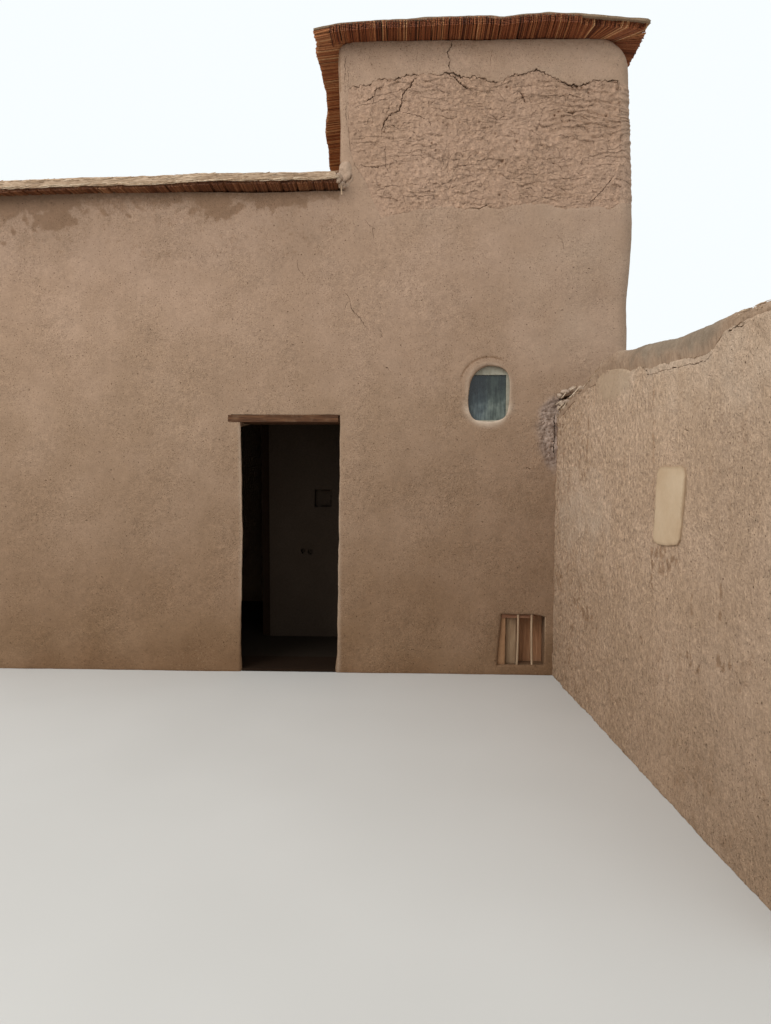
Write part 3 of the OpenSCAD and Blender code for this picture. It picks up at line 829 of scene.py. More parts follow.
def mud_cap():
    """Weathered capping: trodden straw mud at its ends, a smooth washed run between."""
    M = Mat("mud_cap")
    p = M.pos()
    v = M.attr("suv", True)
    a = M.noise(p, 4.0, 4, 0.6)
    b = M.noise(p, 30.0, 4, 0.65)
    f = M.math("ADD", M.math("MULTIPLY", a, 0.6), M.math("MULTIPLY", b, 0.4))
    washed = M.ramp(f, [(0.32, lin(134, 116, 98)), (0.5, lin(153, 135, 116)), (0.68, lin(172, 154, 134))])
    run = M.noise(M.mapping(v, scale=(1.0, 0.5, 1.0)), 30.0, 4, 0.65)
    washed = M.mix(1.0, washed, M.grey(M.span(run, 0.25, 0.75, 0.88, 1.12)), "MULTIPLY")
    earth = M.ramp(f, [(0.32, lin(138, 114, 93)), (0.5, lin(156, 131, 109)), (0.68, lin(172, 147, 124))])
    e2 = M.noise(M.mapping(v, scale=(1.0, 0.5, 1.0)), 70.0, 3, 0.6)
    earth = M.mix(1.0, earth, M.grey(M.span(e2, 0.25, 0.75, 0.74, 1.24)), "MULTIPLY")
    washed = M.mix(1.0, washed, (0.74, 0.73, 0.715, 1), "MULTIPLY")
    c = M.mix(M.attr("smoothed"), earth, washed)
    g = M.noise(p, 220.0, 2, 0.6)
    c = M.mix(1.0, c, M.grey(M.span(g, 0.25, 0.75, 0.90, 1.10)), "MULTIPLY")
    d1, k1 = M.scatter(v, 30.0, 0.010, 0.0018, 0.5, seed=3.0)
    d2, k2 = M.scatter(v, 34.0, 0.012, 0.0016, 0.5, seed=7.0)
    c = M.mix(M.math("MULTIPLY", d1, 0.5), c, M.mix(1.0, c, (0.5, 0.45, 0.4, 1), "MULTIPLY"))
    c = M.mix(M.math("MULTIPLY", d2, M.attr("pale")), c, lin(204, 182, 150))
    # painted shade inside the crack
    crack = M.attr("crack")
    c = M.mix(M.step(crack, 0.2, 0.9), c, M.mix(1.0, c, (0.22, 0.17, 0.13, 1), "MULTIPLY"))
    h = M.math("ADD", M.math("MULTIPLY", b, 0.8), M.math("MULTIPLY", g, 0.3))
    h = M.math("ADD", h, M.math("MULTIPLY", run, 0.15))
    h = M.math("ADD", h, M.math("MULTIPLY", d2, 0.25))
    return M.finish(c, h, 0.005)


CAP = mud_cap()


def roof_mud():
    """Weathered mud of the roof tops, with chaff lying in it."""
    M = Mat("mud_roof")
    p = M.pos()
    a = M.noise(p, 1.7, 5, 0.6)
    b = M.noise(p, 14.0, 4, 0.6)
    c = M.ramp(M.math("ADD", M.math("MULTIPLY", a, 0.6), M.math("MULTIPLY", b, 0.4)),
               [(0.3, lin(128, 106, 86)), (0.5, lin(156, 133, 110)), (0.72, lin(182, 160, 134))])
    g = M.noise(p, 150.0, 3, 0.6)
    c = M.mix(1.0, c, M.grey(M.span(g, 0.25, 0.75, 0.86, 1.12)), "MULTIPLY")
    v = M.attr("suv", True)
    s1, k1 = M.scatter(v, 45.0, 0.011, 0.0014, 0.8, seed=2.0)
    s2, k2 = M.scatter(v, 38.0, 0.009, 0.0014, 0.7, seed=8.0)
    c = M.mix(M.math("MULTIPLY", s1, 0.6), c, lin(205, 180, 142))
    c = M.mix(M.math("MULTIPLY", s2, 0.5), c, lin(92, 70, 52))
    pale = M.attr("pale")
    c = M.mix(M.math("MULTIPLY", pale, 0.8), c, lin(196, 172, 140))
    h = M.math("ADD", M.math("MULTIPLY", b, 0.6), M.math("MULTIPLY", g, 0.3))
    h = M.math("ADD", h, M.math("MULTIPLY", s1, 0.3))
    return M.finish(c, h, 0.006)


ROOF = roof_mud()


def reed(name, dark, midc, light, tipc):
    """Thin reeds: one tone each, the palest ones bleached, with nodes and streaks along the stalk."""
    M = Mat(name, rough=0.7, spec=0.25)
    tone = M.attr("tone")
    along = M.attr("along")
    p = M.pos()
    c = M.ramp(tone, [(0.0, dark), (0.45, midc), (0.8, light), (1.0, tipc)])
    n = M.noise(p, 60.0, 3, 0.6)
    c = M.mix(1.0, c, M.grey(M.span(n, 0.2, 0.8, 0.72, 1.25)), "MULTIPLY")
    weather = M.noise(p, 7.0, 3, 0.6)
    c = M.mix(M.step(weather, 0.5, 0.72, 0.0, 0.35), c, M.mix(1.0, c, (0.55, 0.5, 0.46, 1), "MULTIPLY"))
    ring = M.math("FRACT", M.math("ADD", M.math("MULTIPLY", along, 7.0), M.math("MULTIPLY", tone, 31.0)))
    node = M.step(M.math("ABSOLUTE", M.math("SUBTRACT", ring, 0.5)), 0.06, 0.02)
    c = M.mix(M.math("MULTIPLY", node, 0.5), c, M.mix(1.0, c, (0.45, 0.38, 0.3, 1), "MULTIPLY"))
    # cut ends: the end caps darker
    c = M.mix(M.math("MULTIPLY", M.attr("tip"), 0.55), c, M.mix(1.0, c, (0.46, 0.38, 0.32, 1), "MULTIPLY"))
    return M.finish(c, n, 0.001)


REED = reed("reed", lin(78, 40, 24), lin(142, 80, 49), lin(188, 126, 83), lin(220, 176, 128))
REED_WING = reed("pale_reed", lin(82, 46, 28), lin(124, 78, 51), lin(158, 110, 76), lin(186, 142, 104))


def timber(name, a, b, c, axis=2, scale=1.0):
    M = Mat(name, rough=0.8, spec=0.2)
    p = M.pos()
    s = [26.0 * scale] * 3
    s[axis] = 1.6 * scale
    q = M.mapping(p, scale=tuple(s))
    grain = M.noise(q, 3.2, 5, 0.65, 0.6)
    col = M.ramp(grain, [(0.28, a), (0.5, b), (0.72, c)])
    fine = M.noise(M.mapping(p, scale=tuple(8 * x for x in s)), 1.6, 2, 0.6)
    col = M.mix(1.0, col, M.grey(M.span(fine, 0.25, 0.75, 0.78, 1.18)), "MULTIPLY")
    dirt = M.noise(p, 9.0, 3, 0.6)
    col = M.mix(M.step(dirt, 0.5, 0.75, 0.0, 0.6), col, M.mix(0.5, col, lin(140, 116, 92)))
    h = M.math("ADD", M.math("MULTIPLY", grain, 0.7), M.math("MULTIPLY", fine, 0.4))
    return M.finish(col, h, 0.002)


LINTEL = timber("old_timber", lin(48, 28, 16), lin(84, 54, 34), lin(112, 78, 52), axis=0)
# the recess boards are lighter than the wood itself, as painted light against the shade in the recess
BOARD = timber("board", lin(137, 109, 83), lin(154, 127, 99), lin(168, 142, 114), axis=2, scale=0.7)
BACK_BOARD = timber("back_board", lin(130, 90, 62), lin(156, 111, 79), lin(177, 132, 98), axis=2, scale=0.5)
RED_BOARD = timber("red_board", lin(92, 58, 40), lin(118, 80, 58), lin(138, 102, 78), axis=0)
BAR = timber("bar_wood", lin(138, 112, 87), lin(164, 138, 111), lin(186, 160, 132), axis=2, scale=1.6)
POLE = timber("pole", lin(70, 48, 32), lin(98, 70, 46), lin(128, 96, 66), axis=1)
POLE_X = timber("pole_across", lin(70, 48, 32), lin(98, 70, 46), lin(128, 96, 66), axis=0)


def frame_paint():
    M = Mat("frame_paint", rough=0.75, spec=0.3)
    p = M.pos()
    a = M.noise(p, 22.0, 4, 0.6)
    c = M.ramp(a, [(0.3, lin(136, 130, 114)), (0.5, lin(152, 147, 131)), (0.75, lin(168, 163, 147))])
    s = M.noise(M.mapping(p, scale=(60, 60, 9)), 2.0, 3, 0.6)
    c = M.mix(M.step(s, 0.58, 0.74, 0, 0.55), c, lin(126, 108, 86))
    return M.finish(c, M.math("ADD", a, M.math("MULTIPLY", s, 0.5)), 0.0015)


FRAME = frame_paint()


def glass():
    """Old pane with lime streaks: painted shade under the rail, paler and greener low down."""
    M = Mat("dirty_glass", rough=0.22, spec=0.5)
    p = M.pos()
    x, y, z = M.sep(p)
    q = M.mapping(p, scale=(1.0, 1.0, 0.16))
    s1 = M.noise(q, 34.0, 4, 0.6, 0.5)
    s2 = M.noise(p, 11.0, 4, 0.6)
    s3 = M.noise(M.mapping(p, scale=(1, 1, 0.1), loc=(3, 0, 0)), 90.0, 3, 0.6)
    film = M.math("ADD", M.math("MULTIPLY", s1, 0.5), M.math("MULTIPLY", s2, 0.5))
    # painted shade under the rail: the film is darker high up, paler low down
    low = M.span(z, 1.93, 2.27, 1.0, 0.0)
    side = M.span(x, GLASS_X - 0.13, GLASS_X + 0.13, 0.0, 1.0)
    film = M.math("ADD", film, M.math("MULTIPLY_ADD", M.step(low, 0.15, 0.75), 0.20, -0.09))
    film = M.math("ADD", film, M.math("MULTIPLY_ADD", M.math("MULTIPLY", side, low), 0.14, -0.03))
    film = M.math("ADD", film, M.math("MULTIPLY_ADD", s3, 0.18, -0.09))
    cool = M.ramp(film, [(0.30, lin(19, 24, 25)), (0.46, lin(36, 43, 46)), (0.58, lin(54, 64, 67)), (0.74, lin(94, 105, 106))])
    warm = M.ramp(film, [(0.30, lin(24, 29, 27)), (0.46, lin(43, 51, 47)), (0.58, lin(66, 75, 70)), (0.74, lin(107, 116, 108))])
    c = M.mix(M.step(M.math("ADD", side, M.math("MULTIPLY_ADD", s2, 0.6, -0.3)), 0.35, 0.7), cool, warm)
    r = M.span(film, 0.35, 0.7, 0.18, 0.55)
    return M.finish(c, film, 0.0006, rough=r)


GLASS_X = OX + 1.120
GLASS = glass()


def plaster():
    M = Mat("smooth_plaster", rough=0.7, spec=0.25)
    p = M.pos()
    a = M.noise(p, 5.0, 4, 0.55)
    b = M.noise(p, 60.0, 3, 0.6)
    c = M.ramp(a, [(0.3, lin(178, 151, 121)), (0.5, lin(186, 161, 132)), (0.72, lin(193, 170, 142))])
    c = M.mix(1.0, c, M.grey(M.span(b, 0.3, 0.7, 0.965, 1.03)), "MULTIPLY")
    # darker brown along the panel's outline and on its sides
    edge_brown = M.attr("edge")
    c = M.mix(M.math("MULTIPLY", edge_brown, 0.75), c, lin(150, 124, 98))
    return M.finish(c, M.math("ADD", a, M.math("MULTIPLY", b, 0.4)), 0.0015)


PLASTER = plaster()


def dark_mud(name, a, b, scale=1.0):
    """Dull mud faces between two colours; the dark ones inside the house stand for painted shade."""
    M = Mat(name, rough=0.95, spec=0.05)
    p = M.pos()
    n = M.noise(p, 3.0, 4, 0.6)
    f = M.noise(p, 70.0, 3, 0.6)
    c = M.mix(n, a, b)
    c = M.mix(1.0, c, M.grey(M.span(f, 0.25, 0.75, 0.85, 1.15)), "MULTIPLY")
    return M.finish(c, M.math("ADD", M.math("MULTIPLY", n, 0.5), M.math("MULTIPLY", f, 0.4)), 0.004)


# dark inside walls and floors: painted shade of the dim inside
INNER = dark_mud("inner_mud", lin(61, 50, 41), lin(73, 61, 51))
FLOOR_MUD = dark_mud("mud_floor", lin(38, 31, 25), lin(48, 40, 32))
INFILL = dark_mud("infill_mud", lin(142, 107, 77), lin(157, 121, 91))
# the threshold and the post in the doorway darker still, as painted shade
SILL = dark_mud("sill_mud", lin(32, 22, 15), lin(42, 30, 21))
POST = dark_mud("post_in_painted_shade", lin(34, 24, 17), lin(48, 34, 24))
REED_CAD = dark_mud("reed_mat", lin(84, 54, 36), lin(104, 70, 48))


# ------------------------------------------------------------------ wall shapes
def closed_curve(points, step):
    """A smooth closed curve through the points, evenly divided."""
    P = np.array(points, float)
    n = len(P)
    out = []
    for i in range(n):
        a, b, c, d = P[i - 1], P[i], P[(i + 1) % n], P[(i + 2) % n]
        for t in np.linspace(0, 1, 12, endpoint=False):
            out.append(0.5 * ((2 * b) + (c - a) * t + (2 * a - 5 * b + 4 * c - d) * t * t + (3 * b - a - 3 * c + d) * t ** 3))
    Q = np.array(out)
    seg = np.linalg.norm(np.roll(Q, -1, 0) - Q, axis=1)
    at = np.concatenate([[0], np.cumsum(seg)])
    k = int(round(at[-1] / step))
    t = np.linspace(0, at[-1], k, endpoint=False)
    Q2 = np.vstack([Q, Q[:1]])
    return np.stack([np.interp(t, at, Q2[:, j]) for j in (0, 1)], 1)


# right edge of the tower as it leans and bulges
EDGE_Z = np.array([0.0, 1.2, 2.0, 2.495, 2.824, 3.114, 3.402, 3.617, 4.114, 4.30, 4.46])
EDGE_U = np.array([2.171, 2.171, 2.169, 2.168, 2.161, 2.172, 2.179, 2.176, 2.156, 2.144, 2.136])
ROUND_R = 0.24


def edge_u(z):
    z = np.asarray(z, float)
    base = np.interp(z, EDGE_Z, EDGE_U)
    up_ = np.clip(z - (TALL - ROUND_R), 0, ROUND_R)
    return base - (ROUND_R - np.sqrt(np.maximum(ROUND_R ** 2 - up_ ** 2, 0)))


def tower_edge():
    """Corner points and lip radii up the tower's right edge and round to its top."""
    zs = list(np.arange(0.12, TALL - ROUND_R, 0.12)) + [TALL - ROUND_R + ROUND_R * math.sin(a) for a in np.radians([0, 12, 24, 36, 48, 60, 71, 80, 88])]
    pts = [(float(edge_u(z)), float(z)) for z in zs]
    rad = [0.085 if z < TALL - ROUND_R else 0.085 - 0.06 * (z - TALL + ROUND_R) / ROUND_R for z in zs]
    return pts, rad


def facade_outline():
    pts, rad = [], []

    def go(p, r):
        pts.append(p)
        rad.append(r)

    go((LEFT, 0.0), 0.002)
    go((-0.766, 0.0), 0.013)
    go((-0.762, 0.25), 0.013)
    go((-0.744, 0.65), 0.013)
    go((-0.731, 1.10), 0.013)
    go((-0.737, 1.50), 0.013)
    go((-0.745, 1.925), 0.003)
    go((-0.816, 1.925), 0.003)
    go((-0.816, 1.977), 0.008)
    go((0.016, 1.977), 0.013)
    go((0.011, 1.50), 0.013)
    go((0.002, 1.00), 0.013)
    go((-0.006, 0.50), 0.013)
    go((-0.014, 0.0), 0.002)
    go((float(edge_u(0.0)), 0.0), 0.085)
    e, r = tower_edge()
    for q, k in zip(e, r):
        go(q, k)
    go((1.85, TALL), 0.012)
    go((0.10, TALL), 0.03)
    for a in np.radians([75, 55, 35, 15]):
        go((0.065 - 0.062 * math.cos(a), TALL - 0.065 + 0.065 * math.sin(a)), 0.045)
    for q in [(0.000, 4.54), (0.008, 4.32), (0.015, 4.09), (0.013, 3.87), (0.022, 3.767)]:
        go(q, 0.045)
    go((0.03, LOW), 0.004)
    go((LEFT, LOW), 0.05)
    return pts, rad


PATCH = [(0.084, 4.376), (0.15, 4.378), (0.216, 4.385), (0.262, 4.408), (0.312, 4.436), (0.4, 4.428), (0.455, 4.438),
         (0.517, 4.458), (0.6, 4.452), (0.671, 4.463), (0.74, 4.452), (0.802, 4.472), (0.85, 4.462), (0.905, 4.437),
         (1.022, 4.440), (1.09, 4.41), (1.153, 4.392), (1.19, 4.405), (1.24, 4.43), (1.32, 4.452), (1.406, 4.463),
         (1.453, 4.490), (1.49, 4.465), (1.537, 4.443), (1.617, 4.411), (1.67, 4.385), (1.737, 4.367), (1.81, 4.372),
         (1.884, 4.400), (1.97, 4.388), (2.045, 4.397), (2.062, 4.2), (2.075, 3.95), (2.078, 3.7), (2.072, 3.52),
         (2.0, 3.475), (1.93, 3.505), (1.837, 3.492), (1.76, 3.492), (1.685, 3.478), (1.585, 3.511), (1.5, 3.52),
         (1.421, 3.523), (1.3, 3.512), (1.201, 3.485), (1.15, 3.496), (1.105, 3.51), (1.05, 3.497), (0.943, 3.491),
         (0.85, 3.508), (0.744, 3.511), (0.6, 3.487), (0.47, 3.463), (0.40, 3.455), (0.325, 3.432), (0.284, 3.515),
         (0.232, 3.631), (0.202, 3.708), (0.128, 3.817), (0.091, 3.925), (0.078, 4.10), (0.082, 4.25)]


def patch_left(z):
    return np.interp(z, [3.43, 3.63, 3.82, 3.95, 4.38], [0.325, 0.232, 0.128, 0.085, 0.082])


def patch_outline():
    C = np.array(PATCH, float)
    P, _ = subdivide(C, np.zeros(len(C)), 0.0072)
    if area2(P) < 0:
        P = P[::-1].copy()
    N = corner_normals(P)
    q = flat3(P[:, 0], P[:, 1])
    side = smooth(P[:, 0] - patch_left(P[:, 1]), 0.05, 0.01) * smooth(P[:, 1], 4.37, 4.33)
    level = smooth(P[:, 1], 3.6, 3.5) * 0.5
    amp = 0.0100 * noise(q, 21.0, 3) + 0.0120 * noise(q, 55.0, 4) + 0.0070 * noise(q, 105.0, 5)
    seam = np.maximum(smooth(P[:, 0], 2.0, 2.04), side)
    jag = np.random.default_rng(12).uniform(-0.0026, 0.0026, len(P)) * smooth(P[:, 1], 4.28, 4.34)
    P = P + N * ((amp + jag) * (1 - np.maximum(seam, level)))[:, None]
    gap = (0.0008 + 0.0016 * smooth(P[:, 1], 4.28, 4.34) + 0.0036 * np.clip(noise(q, 7.0, 8) + 0.1, 0, 1) + 0.0026 * np.clip(noise(q, 38.0, 9), 0, 1)) * (1 - seam) * (1 - 0.55 * level * 2) + 0.0002
    # wide open where the crack is dark
    for (a, b), g in {(0.70, 0.90): 0.0065, (1.10, 1.20): 0.0025, (1.64, 1.80): 0.0030, (0.4, 0.62): 0.002}.items():
        k = (P[:, 0] > a) & (P[:, 0] < b) & (P[:, 1] > 4.2)
        gap[k] += g * np.sin(math.pi * (P[k, 0] - a) / (b - a)) ** 0.7 * (0.45 + 0.9 * np.clip(noise(q, 30.0, 10)[k] + 0.3, 0, 1))
    for (a, b), g in {(0.95, 1.22): 0.006, (1.5, 1.66): 0.002}.items():
        k = (P[:, 0] > a) & (P[:, 0] < b) & (P[:, 1] < 3.6)
        gap[k] += g * np.sin(math.pi * (P[k, 0] - a) / (b - a)) ** 0.8
    return P, N, gap, seam


OVAL = [(1.125, 2.342), (1.185, 2.341), (1.232, 2.329), (1.266, 2.301), (1.284, 2.260), (1.291, 2.2), (1.292, 2.132),
        (1.290, 2.064), (1.281, 2.008), (1.258, 1.963), (1.215, 1.937), (1.15, 1.925), (1.085, 1.929), (1.038, 1.941),
        (1.006, 1.973), (0.989, 2.021), (0.983, 2.078), (0.986, 2.14), (0.995, 2.205), (1.017, 2.264), (1.054, 2.307), (1.089, 2.331)]


def rough_zone(u, z):
    """1 inside the coarse patch and out to the tower's right corner beside it."""
    return smooth(u, 1.98, 2.06) * smooth(z, 3.48, 3.56) * smooth(z, 4.42, 4.34)


def swell(p):
    """Hand-trowelled unevenness common to all the walls, in metres."""
    return (0.008 * noise(p, 0.75, 11) + 0.006 * noise(p, 2.1, 12) + 0.0034 * noise(p, 5.5, 13)
            + 0.0017 * noise(p, 14.0, 14) + 0.0008 * noise(p, 34.0, 15))


def courses(u, z, q, spacing, seed, big, small):
    """Wavy, nearly level lines: a phase with a line at each whole number, and how far
    each stretch of line is open."""
    k = q * np.array([1.0, 1.0, 1.7])
    ph = z / spacing + big * noise(k, 2.8, seed) + small * noise(k, 12.0, seed + 1)
    key = np.stack([u * 0.24 / spacing, np.full(len(u), 1.7), ph * 0.85], 1)
    return ph, smooth(noise(key, 1.0, seed + 2), -0.10, 0.32)


def coarse(u, z, q):
    """Hand-thrown mud: wavy overlapping courses of clods, open along their lower lips."""
    near = smooth(u - patch_left(z), 0.0, 0.10)
    course = smooth(u, 1.42, 1.6) * smooth(z, 3.88, 4.0) * smooth(z, 4.40, 4.32)
    ph1, amp1 = courses(u, z, q, 0.046, 33, 1.7 , 0.42)
    ph2, amp2 = courses(u, z, q, 0.021, 43, 2.6, 0.75)
    amp1 = np.maximum(amp1, 0.35 * course * smooth(noise(q, 6.0, 36), -0.5, 0.1)) * near
    amp2 = amp2 * near * (0.4 + 0.6 * smooth(noise(q, 3.0, 37), -0.2, 0.2))
    f1, f2 = ph1 - np.floor(ph1), ph2 - np.floor(ph2)
    f = 0.0060 * amp1 * (0.5 - f1) + 0.0042 * amp2 * (0.5 - f2)
    f = f + course * 0.0036 * np.cos(2 * math.pi * (f1 - 0.2))
    clod = 0.0060 * noise(q * np.array([1.0, 1.0, 1.4]), 14.0, 38) + 0.0062 * noise(q, 31.0, 39) + 0.0042 * noise(q, 62.0, 40) + 0.0018 * noise(q, 115.0, 41)
    return f + clod * (0.35 + 0.65 * near), (ph1, amp1, ph2, amp2)


def short_cracks(lines):
    """Short, mostly level crevices scattered over the coarse patch."""
    r = np.random.default_rng(77)
    taken = [np.array(p) for line, _, _ in lines for p in line]
    out = []
    for _ in range(4000):
        if len(out) >= 170:
            break
        c = np.array([r.uniform(0.17, 2.0), r.uniform(3.53, 4.40)])
        if c[0] < patch_left(c[1]) + 0.07:
            continue
        top = np.interp(c[0], [p[0] for p in PATCH[:31]], [p[1] for p in PATCH[:31]])
        if c[1] > top - 0.035:
            continue
        n = int(r.integers(3, 12))
        a = math.radians(r.normal(0, 24)) if r.uniform() < 0.62 else math.radians(r.uniform(-90, 90))
        pts = [c]
        for _ in range(n):
            a = 0.95 * a + math.radians(r.normal(0, 24))
            pts.append(pts[-1] + 0.0115 * np.array([math.cos(a), math.sin(a)]))
        pts = np.array(pts)
        if pts[:, 0].max() > 2.03 or pts[:, 1].max() > 4.41 or pts[:, 1].min() < 3.52:
            continue
        T = np.array(taken)
        if np.sqrt(((T[None] - pts[:, None]) ** 2).sum(2)).min() < 0.017:
            continue
        taken += list(pts)
        out.append(([tuple(p) for p in pts], float(r.uniform(0.0008, 0.0022)), float(r.uniform(0.003, 0.008))))
    return out


PITS = [(1.215, 3.836, 0.015, 0.018), (1.318, 3.978, 0.009, 0.012), (1.162, 4.033, 0.008, 0.010), (1.484, 4.096, 0.008, 0.010),
        (1.965, 4.147, 0.009, 0.012), (0.910, 4.258, 0.007, 0.009), (0.695, 3.967, 0.008, 0.010), (1.197, 3.592, 0.012, 0.012),
        (2.055, 3.505, 0.012, 0.012), (1.715, 4.352, 0.010, 0.014), (1.750, 4.350, 0.011, 0.015), (1.784, 4.348, 0.011, 0.014),
        (1.834, 4.316, 0.009, 0.012), (0.313, 4.360, 0.010, 0.013), (1.593, 4.158, 0.009, 0.012), (1.650, 4.116, 0.008, 0.012),
        (1.720, 4.171, 0.008, 0.010), (0.90, 4.118, 0.010, 0.010), (1.62, 4.185, 0.007, 0.010), (1.68, 4.19, 0.007, 0.010),
        (1.36, 4.30, 0.010, 0.014), (1.24, 4.36, 0.010, 0.010), (1.27, 4.355, 0.008, 0.010), (0.345, 4.05, 0.008, 0.012),
        (1.60, 4.205, 0.007, 0.011), (1.66, 4.150, 0.008, 0.011), (1.585, 4.130, 0.006, 0.009), (1.70, 4.120, 0.007, 0.010), (1.64, 4.085, 0.008, 0.011),
        (1.47, 4.06, 0.006, 0.009), (1.19, 3.80, 0.009, 0.012), (1.24, 3.815, 0.008, 0.010), (1.352, 4.285, 0.008, 0.013), (1.372, 4.262, 0.008, 0.012)]


def pits(u, z, table):
    f = np.zeros(len(u))
    dark = np.zeros(len(u))
    for a, b, r, d in table:
        k = np.hypot(u - a, (z - b) * 1.15) / r
        g = smooth(k, 1.25, 0.35)
        f -= d * g
        dark = np.maximum(dark, g)
    return f, dark


def cement_zone(u, z):
    """Pebbly filling beside the yard wall."""
    q = flat3(u, z)
    e = u + 0.02 * noise(q, 9.0, 51)
    zz = z + 0.03 * noise(q, 7.0, 52)
    left = np.interp(zz, [1.55, 1.62, 1.75, 1.9, 2.02, 2.09], [1.595, 1.545, 1.52, 1.49, 1.51, 1.58])
    return smooth(e, left - 0.03, left + 0.045) * smooth(zz, 1.50, 1.64) * smooth(zz, 2.13, 2.07) * smooth(u, 1.70, 1.66)


WINDOW_MID = (1.132, 2.14)


def around_window(u, z):
    """Distance outside the window opening, roughly."""
    a = np.hypot(np.maximum(np.abs(u - 1.132), 0), np.maximum(np.abs(z - 2.14) - 0.055, 0))
    return a - 0.16


def facade_relief(P, s, z, d):
    f = swell(P)
    u = s
    # raised, rubbed rim round the window, with a second edge at its upper left
    k = around_window(u, z)
    f = f + 0.005 * np.exp(-(k / 0.03) ** 2) * (d < 0.02)
    arc = np.exp(-((k - 0.055) / 0.007) ** 2) * smooth(z, 2.18, 2.3) * smooth(u, 1.28, 1.2)
    arc2 = np.exp(-((k - 0.115) / 0.008) ** 2) * smooth(z, 2.30, 2.36) * smooth(u, 1.36, 1.30)
    f = f - 0.004 * arc - 0.0025 * arc2
    rz = rough_zone(u, z) * smooth(d, 0.075, 0.035)
    if rz.max() > 0:
        g, _ = coarse(u, z, flat3(u, z))
        f = f + rz * g
    cz = cement_zone(u, z) * (d < 0.02)
    q = flat3(u, z)
    i = cz > 0.001
    if i.any():
        d1, d2 = cells(q[i], 30.0, 61)
        f[i] += cz[i] * (0.016 * (0.65 - d1) - 0.007 * smooth(d2 - d1, 0.2, 0.0) + 0.006 * noise(q[i], 12.0, 62))
    # swells out a little at the foot
    f = f + 0.012 * smooth(z, 0.16, 0.0) * (d < 0.05)
    return f


def facade_paint(P, s, z, d, N):
    u = s
    q = flat3(u, z)
    k = around_window(u, z)
    n1 = noise(q, 4.0, 71)
    n2 = noise(q, 13.0, 72)
    n3 = noise(q, 31.0, 74)
    st = np.zeros(len(u))
    # dark patches just under the wing's eave: partly water stains, partly painted shade under the eave
    for a, b, w, h, g in [(-2.34, 3.56, 0.52, 0.17, 1.0), (-2.17, 3.45, 0.28, 0.105, 1.0), (-2.75, 3.50, 0.35, 0.2, 0.9),
                          (-0.93, 3.52, 0.19, 0.10, 0.9), (-1.35, 3.58, 0.25, 0.07, 0.6), (-0.45, 3.56, 0.24, 0.09, 0.9),
                          (-1.75, 3.57, 0.25, 0.08, 0.5), (-0.18, 3.60, 0.12, 0.05, 0.4)]:
        r = np.hypot((u - a) / w, (z - b) / h) + 0.6 * n1 + 0.7 * n2 + 0.4 * n3
        st = np.maximum(st, g * smooth(r, 1.25, 0.35))
    # bands just under the wing's and the tower's eaves: partly stain, partly painted shade under the eaves
    st = np.maximum(st, 0.62 * smooth(z + 0.05 * n1 + 0.04 * n2, 3.50, 3.61) * (u < 0.02))
    st = np.maximum(st, 0.35 * smooth(z + 0.03 * n1, 4.60, 4.69))
    # weathered blotches high on the wing
    st = np.maximum(st, 0.27 * smooth(0.6 * n2 + 0.6 * n1 + 0.6 * n3, -0.35, 0.35) * smooth(z, 2.9, 3.3) * (u < 0.0))
    # rain streaks under the tower's eave
    streak = smooth(noise(q * np.array([9.0, 1, 1.2]), 1.0, 73), 0.25, 0.6) * smooth(z, 4.40, 4.62) * 0.22
    st = np.maximum(st, streak * (u > 0))
    pale = 1.15 * np.exp(-(np.clip(k - 0.004, 0, 1) / 0.030) ** 2) * smooth(z, 2.14, 1.95) * (0.85 + 0.6 * n2)
    pale = np.maximum(pale, 0.35 * np.exp(-(k / 0.014) ** 2))
    # a little lighter towards the right corner
    pale = np.maximum(pale, np.clip(0.10 + 0.10 * n1, 0, 1) * smooth(u, 1.0, 1.7) * smooth(z, 2.2, 2.5))
    jamb = np.maximum(np.exp(-((u - 0.004) / 0.012) ** 2), np.exp(-((u + 0.748) / 0.012) ** 2)) * (z < 1.9)
    pale = np.maximum(pale, 0.3 * jamb * (d < 0.02))
    arc = np.exp(-((k - 0.055) / 0.008) ** 2) * smooth(z, 2.18, 2.3) * smooth(u, 1.28, 1.2)
    st = np.maximum(st, 0.9 * arc)
    # painted shade in the top of the window's reveal
    inner = (k < 0.02) & (d > 0.013) & (d < 0.06)
    st = np.maximum(st, np.where(inner, 1.0 * smooth(z, 2.16, 2.24), 0.0))
    # painted shade along the upper lip, where the top of the opening is in shade
    st = np.maximum(st, 1.0 * np.exp(-((k + 0.002) / 0.009) ** 2) * smooth(z, 2.26, 2.32))
    cem = cement_zone(u, z) * (d < 0.02)
    _, (ph1, amp1, ph2, amp2) = coarse(u, z, q)
    tone = (smooth(z, 2.8, 3.25) + 0.9 * smooth(z, 3.1, 3.4) * smooth(u, -1.5, -2.1)) * smooth(u, 0.15, -0.25) + 0.35 * smooth(z, 3.6, 3.3) * smooth(z, 2.5, 2.9) * smooth(u, 1.2, 1.7)
    out = {"tone": tone, "stain": np.clip(st, 0, 1), "pale": np.clip(pale, 0, 1), "cement": cem, "ph1": ph1, "amp1": amp1, "ph2": ph2, "amp2": amp2}
    return out


